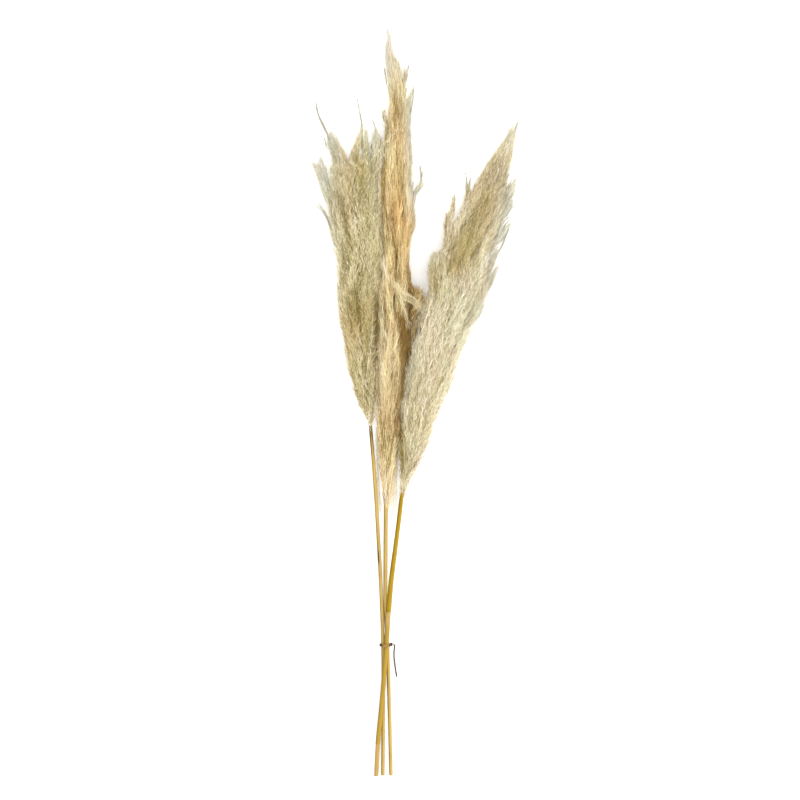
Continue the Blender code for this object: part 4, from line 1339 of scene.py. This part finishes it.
def raceme_object(name, piece, body, grown, lighter):
    """The branches as one mesh of edges, with the tint, size and looseness of their spikelets.

    grown is the paths and the tints of each kind of branch.
    """
    paths, tints = (np.concatenate(arrays) for arrays in zip(*grown.values()))
    count, steps = paths.shape[:2]
    data = bpy.data.meshes.new(piece)
    data.vertices.add(count * steps)
    data.vertices.foreach_set("co", in_frame(paths).astype(np.float32).ravel())
    starts = (np.arange(count)[:, None] * steps + np.arange(steps - 1)).ravel()
    data.edges.add(len(starts))
    data.edges.foreach_set("vertices", np.column_stack([starts, starts + 1]).ravel())
    data.update()
    made = add_object(piece, data)

    def of_kinds(values):
        """One value of each kind of branch, or a row of them from root to tip, for each point."""
        shapes = [kind_tints.shape for _, kind_tints in grown.values()]
        return np.concatenate([np.broadcast_to(*pair) for pair in zip(values, shapes)])

    kinds = [KINDS[kind] for kind in grown]
    amounts = painted(name, body, paths)
    taken = amounts["bleach"] * of_kinds([kind.takes_bleach for kind in kinds])
    bleach = taken + of_kinds([kind.bleach for kind in kinds])
    set_floats(made, "tint", tints + lighter - amounts["deep"])
    set_floats(made, "bleach", np.clip(bleach, 0, 1))
    set_floats(made, "accent", np.clip(amounts["accent"], 0, 1))
    set_floats(made, "size", of_kinds([np.linspace(*kind.sizes, steps) for kind in kinds]))
    set_floats(made, "loose", of_kinds([kind.loose for kind in kinds]))
    return made


def spikelet_form():
    """A slim closed spikelet of unit length along +Z, darkest at its root."""
    made = shell_object("spikelet_form", SPIKELET_POINTS, SPIKELET_FACES)
    set_floats(made, "along", [z for _, _, z in SPIKELET_POINTS])
    return made


def spikelet_tree():
    """Geometry Nodes that set spikelets along every branch of a mesh of edges."""
    tree = bpy.data.node_groups.new("spikelets_on_branches", "GeometryNodeTree")
    inputs = [
        ("Branches", "NodeSocketGeometry", None), ("Spikelet", "NodeSocketObject", None),
        ("Finish", "NodeSocketMaterial", None), ("Spacing", "NodeSocketFloat", 0.0025),
        ("Length", "NodeSocketFloat", 0.01), ("Width", "NodeSocketFloat", 0.001),
        ("Spread", "NodeSocketFloat", 0.4), ("Scatter", "NodeSocketFloat", 0.001),
        ("Contrast", "NodeSocketFloat", 0.2), ("Seed", "NodeSocketInt", 1),
    ]
    for name, kind, default in inputs:
        socket = tree.interface.new_socket(name=name, in_out="INPUT", socket_type=kind)
        if default is not None:
            socket.default_value = default
    tree.interface.new_socket(name="Geometry", in_out="OUTPUT", socket_type="NodeSocketGeometry")
    given = add_node(tree, "NodeGroupInput").outputs

    def enabled(sockets):
        return {socket.name: socket for socket in sockets if socket.enabled}

    def draw(low, high, offset, kind="FLOAT"):
        """A random value for each point. The offset tells one draw from another."""
        made = add_node(tree, "FunctionNodeRandomValue", data_type=kind)
        sockets = enabled(made.inputs)
        sockets["Min"].default_value = low
        sockets["Max"].default_value = high
        tree.links.new(maths(tree, "ADD", given["Seed"], offset), sockets["Seed"])
        return enabled(made.outputs)["Value"]

    def named(name):
        made = add_node(
            tree, "GeometryNodeInputNamedAttribute", {"Name": name}, data_type="FLOAT"
        )
        return enabled(made.outputs)["Attribute"]

    def vector_maths(operation, inputs):
        made = add_node(tree, "ShaderNodeVectorMath", inputs, operation=operation)
        return made.outputs["Vector"]

    loose = named("loose")

    def shaken(reach, offset):
        """A random vector for each point, which reaches as far as the branch is loose."""
        vector = draw((-1, -1, -1), (1, 1, 1), offset, "FLOAT_VECTOR")
        factor = maths(tree, "MULTIPLY", given[reach], loose)
        return vector_maths("SCALE", {0: vector, "Scale": factor})

    def sized(size, shares, offset):
        """A spikelet's own length or width."""
        own = maths(tree, "MULTIPLY", given[size], draw(*shares, offset))
        return maths(tree, "MULTIPLY", own, named("size"))

    curve = add_node(tree, "GeometryNodeMeshToCurve", {"Mesh": given["Branches"]})
    points = add_node(
        tree, "GeometryNodeCurveToPoints",
        {"Curve": curve.outputs["Curve"], "Length": given["Spacing"]}, mode="LENGTH",
    )
    placed = add_node(
        tree, "GeometryNodeSetPosition",
        {"Geometry": points.outputs["Points"], "Offset": shaken("Scatter", 1)},
    )
    direction = vector_maths("ADD", {0: points.outputs["Tangent"], 1: shaken("Spread", 2)})
    aligned = add_node(tree, "FunctionNodeAlignRotationToVector", {"Vector": direction}, axis="Z")
    roll = add_node(
        tree, "FunctionNodeAxisAngleToRotation",
        {"Axis": (0, 0, 1), "Angle": draw(0.0, 2 * math.pi, 3)},
    )
    turned = add_node(
        tree, "FunctionNodeRotateRotation",
        {"Rotation": aligned.outputs[0], "Rotate By": roll.outputs[0]}, rotation_space="LOCAL",
    )
    width = sized("Width", SPIKELET_WIDTHS, 4)
    length = sized("Length", SPIKELET_LENGTHS, 5)
    scale = add_node(tree, "ShaderNodeCombineXYZ", {"X": width, "Y": width, "Z": length})
    form = add_node(tree, "GeometryNodeObjectInfo", {"Object": given["Spikelet"]})
    instances = add_node(
        tree, "GeometryNodeInstanceOnPoints",
        {
            "Points": placed.outputs["Geometry"], "Instance": form.outputs["Geometry"],
            "Rotation": turned.outputs[0], "Scale": scale.outputs[0],
        },
    )
    swing = maths(tree, "MULTIPLY", draw(-1.0, 1.0, 6), given["Contrast"])
    stored = add_node(
        tree, "GeometryNodeStoreNamedAttribute",
        {
            "Geometry": instances.outputs["Instances"], "Name": "tint",
            "Value": maths(tree, "ADD", named("tint"), swing),
        },
        data_type="FLOAT", domain="INSTANCE",
    )
    real = add_node(
        tree, "GeometryNodeRealizeInstances", {"Geometry": stored.outputs["Geometry"]}
    )
    finished = add_node(
        tree, "GeometryNodeSetMaterial",
        {"Geometry": real.outputs["Geometry"], "Material": given["Finish"]},
    )
    add_node(tree, "NodeGroupOutput", {0: finished.outputs["Geometry"]})
    return tree


def grow_spikelets(obj, tree, values):
    """Runs the spikelet tree on the branches, and makes the result the object's plain mesh."""
    modifier = obj.modifiers.new("spikelets", "NODES")
    modifier.node_group = tree
    identifiers = {
        item.name: item.identifier for item in tree.interface.items_tree
        if item.in_out == "INPUT"
    }
    for name, value in values.items():
        modifier[identifiers[name]] = value
    evaluated_mesh(obj)
    settle_spikelets(obj.data)
    lay_out_uv(obj.data)


def settle_spikelets(data):
    """Lifts each spikelet that would dip into the floor."""
    points = np.empty(len(data.vertices) * 3, np.float32)
    data.vertices.foreach_get("co", points)
    points = points.reshape(-1, len(SPIKELET_POINTS), 3)
    lift = np.maximum(0.0, FLOOR_CLEARANCE * MM - points[:, :, 2].min(axis=1))
    points[:, :, 2] += lift[:, None]
    data.vertices.foreach_set("co", points.ravel())
    data.update()


def lay_out_uv(data):
    """A UV map with a cell of its own for each spikelet, two of its faces beside the other two."""
    count = len(data.vertices) // len(SPIKELET_POINTS)
    across = math.ceil(math.sqrt(count))
    corners = np.empty(len(data.loops), np.int32)
    data.loops.foreach_get("vertex_index", corners)
    spikelet, corner = np.divmod(corners, len(SPIKELET_POINTS))
    face = np.arange(len(corners)) // 3 % len(SPIKELET_FACES)
    place = np.array(SPIKELET_UV)[corner]
    place[:, 0] = 0.5 * place[:, 0] + np.where(face < len(SPIKELET_FACES) / 2, 0.0, 0.5)
    cell = np.column_stack([spikelet % across, spikelet // across])
    made = data.uv_layers.new(name="OFBake")
    made.data.foreach_set("uv", ((cell + place) / across).astype(np.float32).ravel())


def plume_material(name, colours):
    """Silky spikelets: tinted from deep to light, with painted shade and light, bleached and
    accented.
    """
    deep, own, light, pale, accent = colours
    made, tree, shader = new_material(name, roughness=0.75, specular=0.25, sheen=0.25)
    mottle = object_noise(tree, 55.0, along=0.5, roughness=0.6)
    fleck = object_noise(tree, 620.0, along=0.45, detail=2.0)
    blush = object_noise(tree, 34.0, along=0.4, detail=2.0)
    along, own_tint = attribute(tree, "along"), attribute(tree, "tint")
    tint = maths(tree, "MULTIPLY_ADD", along, TINT_ALONG, own_tint)
    tint = maths(tree, "MULTIPLY_ADD", mottle, TINT_MOTTLE, tint)
    tint = maths(tree, "MULTIPLY_ADD", fleck, TINT_FLECK, tint)
    tint = maths(tree, "SUBTRACT", tint, TINT_LEVEL)
    colour = ramp(tree, tint, [(0.0, deep), (0.5, own), (1.0, light)])
    accents = ramp(tree, tint, [(place, lit(accent, by)) for place, by in ACCENT_LIGHTS])
    stained_and_shaded = mix_colours(tree, ACCENT_COVER, colour, accents)
    colour = mix_colours(tree, attribute(tree, "accent"), colour, stained_and_shaded)
    shades = ramp(tree, tint, [(place, lit(pale, by)) for place, by in BLEACH_LIGHTS])
    colour = mix_colours(tree, attribute(tree, "bleach"), colour, shades)
    blushes = ramp(tree, blush, BLUSH)
    colour = mix_colours(tree, BLUSH_COVER, colour, blushes, "MULTIPLY")
    set_inputs(tree, shader, {"Base Color": colour})
    vary_roughness(tree, shader, fleck, 0.6, 0.9)
    add_bump(tree, shader, fleck, strength=0.2, distance=0.0002)
    return made


def heart_material(name, colours, light):
    """The inside of a plume, streaked along it, with painted shade: light is how far its colours
    are darkened.
    """
    deep, own = (lit(colour, light) for colour in colours[:2])
    made, tree, shader = new_material(name, roughness=0.95, specular=0.05)
    streak = object_noise(tree, 500.0, along=0.12, detail=4.0, roughness=0.6)
    set_inputs(tree, shader, {"Base Color": ramp(tree, streak, [(0.35, deep), (0.75, own)])})
    add_bump(tree, shader, streak, strength=0.8, distance=0.001)
    return made


def plume_heart(name, body):
    """The dense middle of a plume, round its rachis."""
    start = body.foot + HEART_START
    end = body.foot + HEART_END * (body.top - body.foot)
    turns = round_turns(HEART_SIDES)
    rings = []
    for y in np.linspace(start, end, HEART_RINGS):
        to_end = max(HEART_TIP, (end - y) / HEART_TAPERS[1])
        from_start = HEART_TIP + (y - start) / HEART_TAPERS[0]
        lump = 1 + sum(high * np.sin(k * y + n * turns) for high, k, n in HEART_LUMPS)
        share = HEART_SHARE * min(1.0, to_end, from_start) * lump
        rings.append(off_floor(body.at(np.full(HEART_SIDES, y), share, turns), HEART_FLOOR))
    points, faces = tube(np.array(rings))
    return shell_object(name + "_heart", in_frame(points), faces)


class PAMPAS_OT_plumes(bpy.types.Operator):
    """Grows the three plumes: branches in locks, set with spikelets and silky hairs"""

    bl_idname = "pampas.plumes"
    bl_label = "Plumes"

    def execute(self, context):
        settings = context.scene.pampas_plumes
        tree = spikelet_tree()
        form = spikelet_form()
        for name, facts in PLUMES.items():
            table, slot, strands = facts["table"], facts["slot"], facts["strands"]
            long, wide, lean = facts["spikelet"]
            random = np.random.default_rng(facts["seed"])
            body = Body(table["body"])
            crown = Curve(table["crown"]) if "crown" in table else None
            colours = PLUME_COLOURS[name]
            silk = plume_material(slot, colours)
            inside = heart_material(slot + "_heart", colours, facts["heart"])
            finish_piece(plume_heart(name, body), name, inside)
            trim = LAST_SPIKELET * long * settings.spikelet_length / MM
            grown = {
                "locks": lock_racemes(
                    body, random, facts["locks"], RACEMES, LOCK_LENGTH, LOCK_SHORT, strands, crown
                ),
                "lobes": lobe_racemes(table["lobes"], random, strands, trim),
                "flyaways": flyaway_racemes(body, random, facts["flyaways"]),
            }
            for kind, tint in SINGLE_TINTS.items():
                if kind in table:
                    grown[kind] = single_racemes(table[kind], random, tint, trim)
            for layer, size, scatter, contrast, seed_step, lighter in LAYERS:
                made = raceme_object(name, f"{name}_{layer}", body, grown, lighter)
                grow_spikelets(made, tree, {
                    "Spikelet": form, "Finish": silk, "Spread": lean * settings.spread,
                    "Seed": settings.seed + facts["seed"] + seed_step,
                    "Spacing": getattr(settings, size + "_spacing"),
                    "Length": long * getattr(settings, size + "_length"),
                    "Width": wide * getattr(settings, size + "_width"),
                    "Scatter": scatter, "Contrast": contrast,
                })
                finish_piece(made, name, smooth=False)
        bpy.data.objects.remove(form, do_unlink=True)
        return {"FINISHED"}


# --- Panel and registration ------------------------------------------------------------------

# The steps: the scene's name for each group of settings, the group, and its operators.
STEPS = (
    ("pampas_stage", PampasStageSettings, (PAMPAS_OT_stage,)),
    ("pampas_twine", PampasTwineSettings, (PAMPAS_OT_twine_tail, PAMPAS_OT_tie)),
    ("pampas_stems", PampasStemSettings, (PAMPAS_OT_stems,)),
    ("pampas_plumes", PampasPlumeSettings, (PAMPAS_OT_plumes,)),
)


class PAMPAS_PT_panel(bpy.types.Panel):
    """The bundle's steps and settings"""

    bl_idname = "PAMPAS_PT_panel"
    bl_label = "Pampas Grass Bundle"
    bl_space_type = "VIEW_3D"
    bl_region_type = "UI"
    bl_category = "Pampas"

    def draw(self, context):
        for name, _, operators in STEPS:
            box = self.layout.box()
            for operator in operators:
                box.operator(operator.bl_idname)
            settings = getattr(context.scene, name)
            for key in settings.bl_rna.properties.keys():
                if key not in ("rna_type", "name"):
                    box.prop(settings, key)


CLASSES = (
    *(group for _, group, _ in STEPS),
    *(operator for _, _, operators in STEPS for operator in operators),
    PAMPAS_PT_panel,
)


def register():
    for cls in CLASSES:
        bpy.utils.register_class(cls)
    for name, group, _ in STEPS:
        setattr(bpy.types.Scene, name, bpy.props.PointerProperty(type=group))


def unregister():
    for name, _, _ in STEPS:
        delattr(bpy.types.Scene, name)
    for cls in reversed(CLASSES):
        bpy.utils.unregister_class(cls)


def main():
    register()
    bpy.ops.pampas.stage()
    bpy.ops.pampas.twine_tail()
    bpy.ops.pampas.tie()
    bpy.ops.pampas.stems()
    bpy.ops.pampas.plumes()


if __name__ == "__main__":
    main()
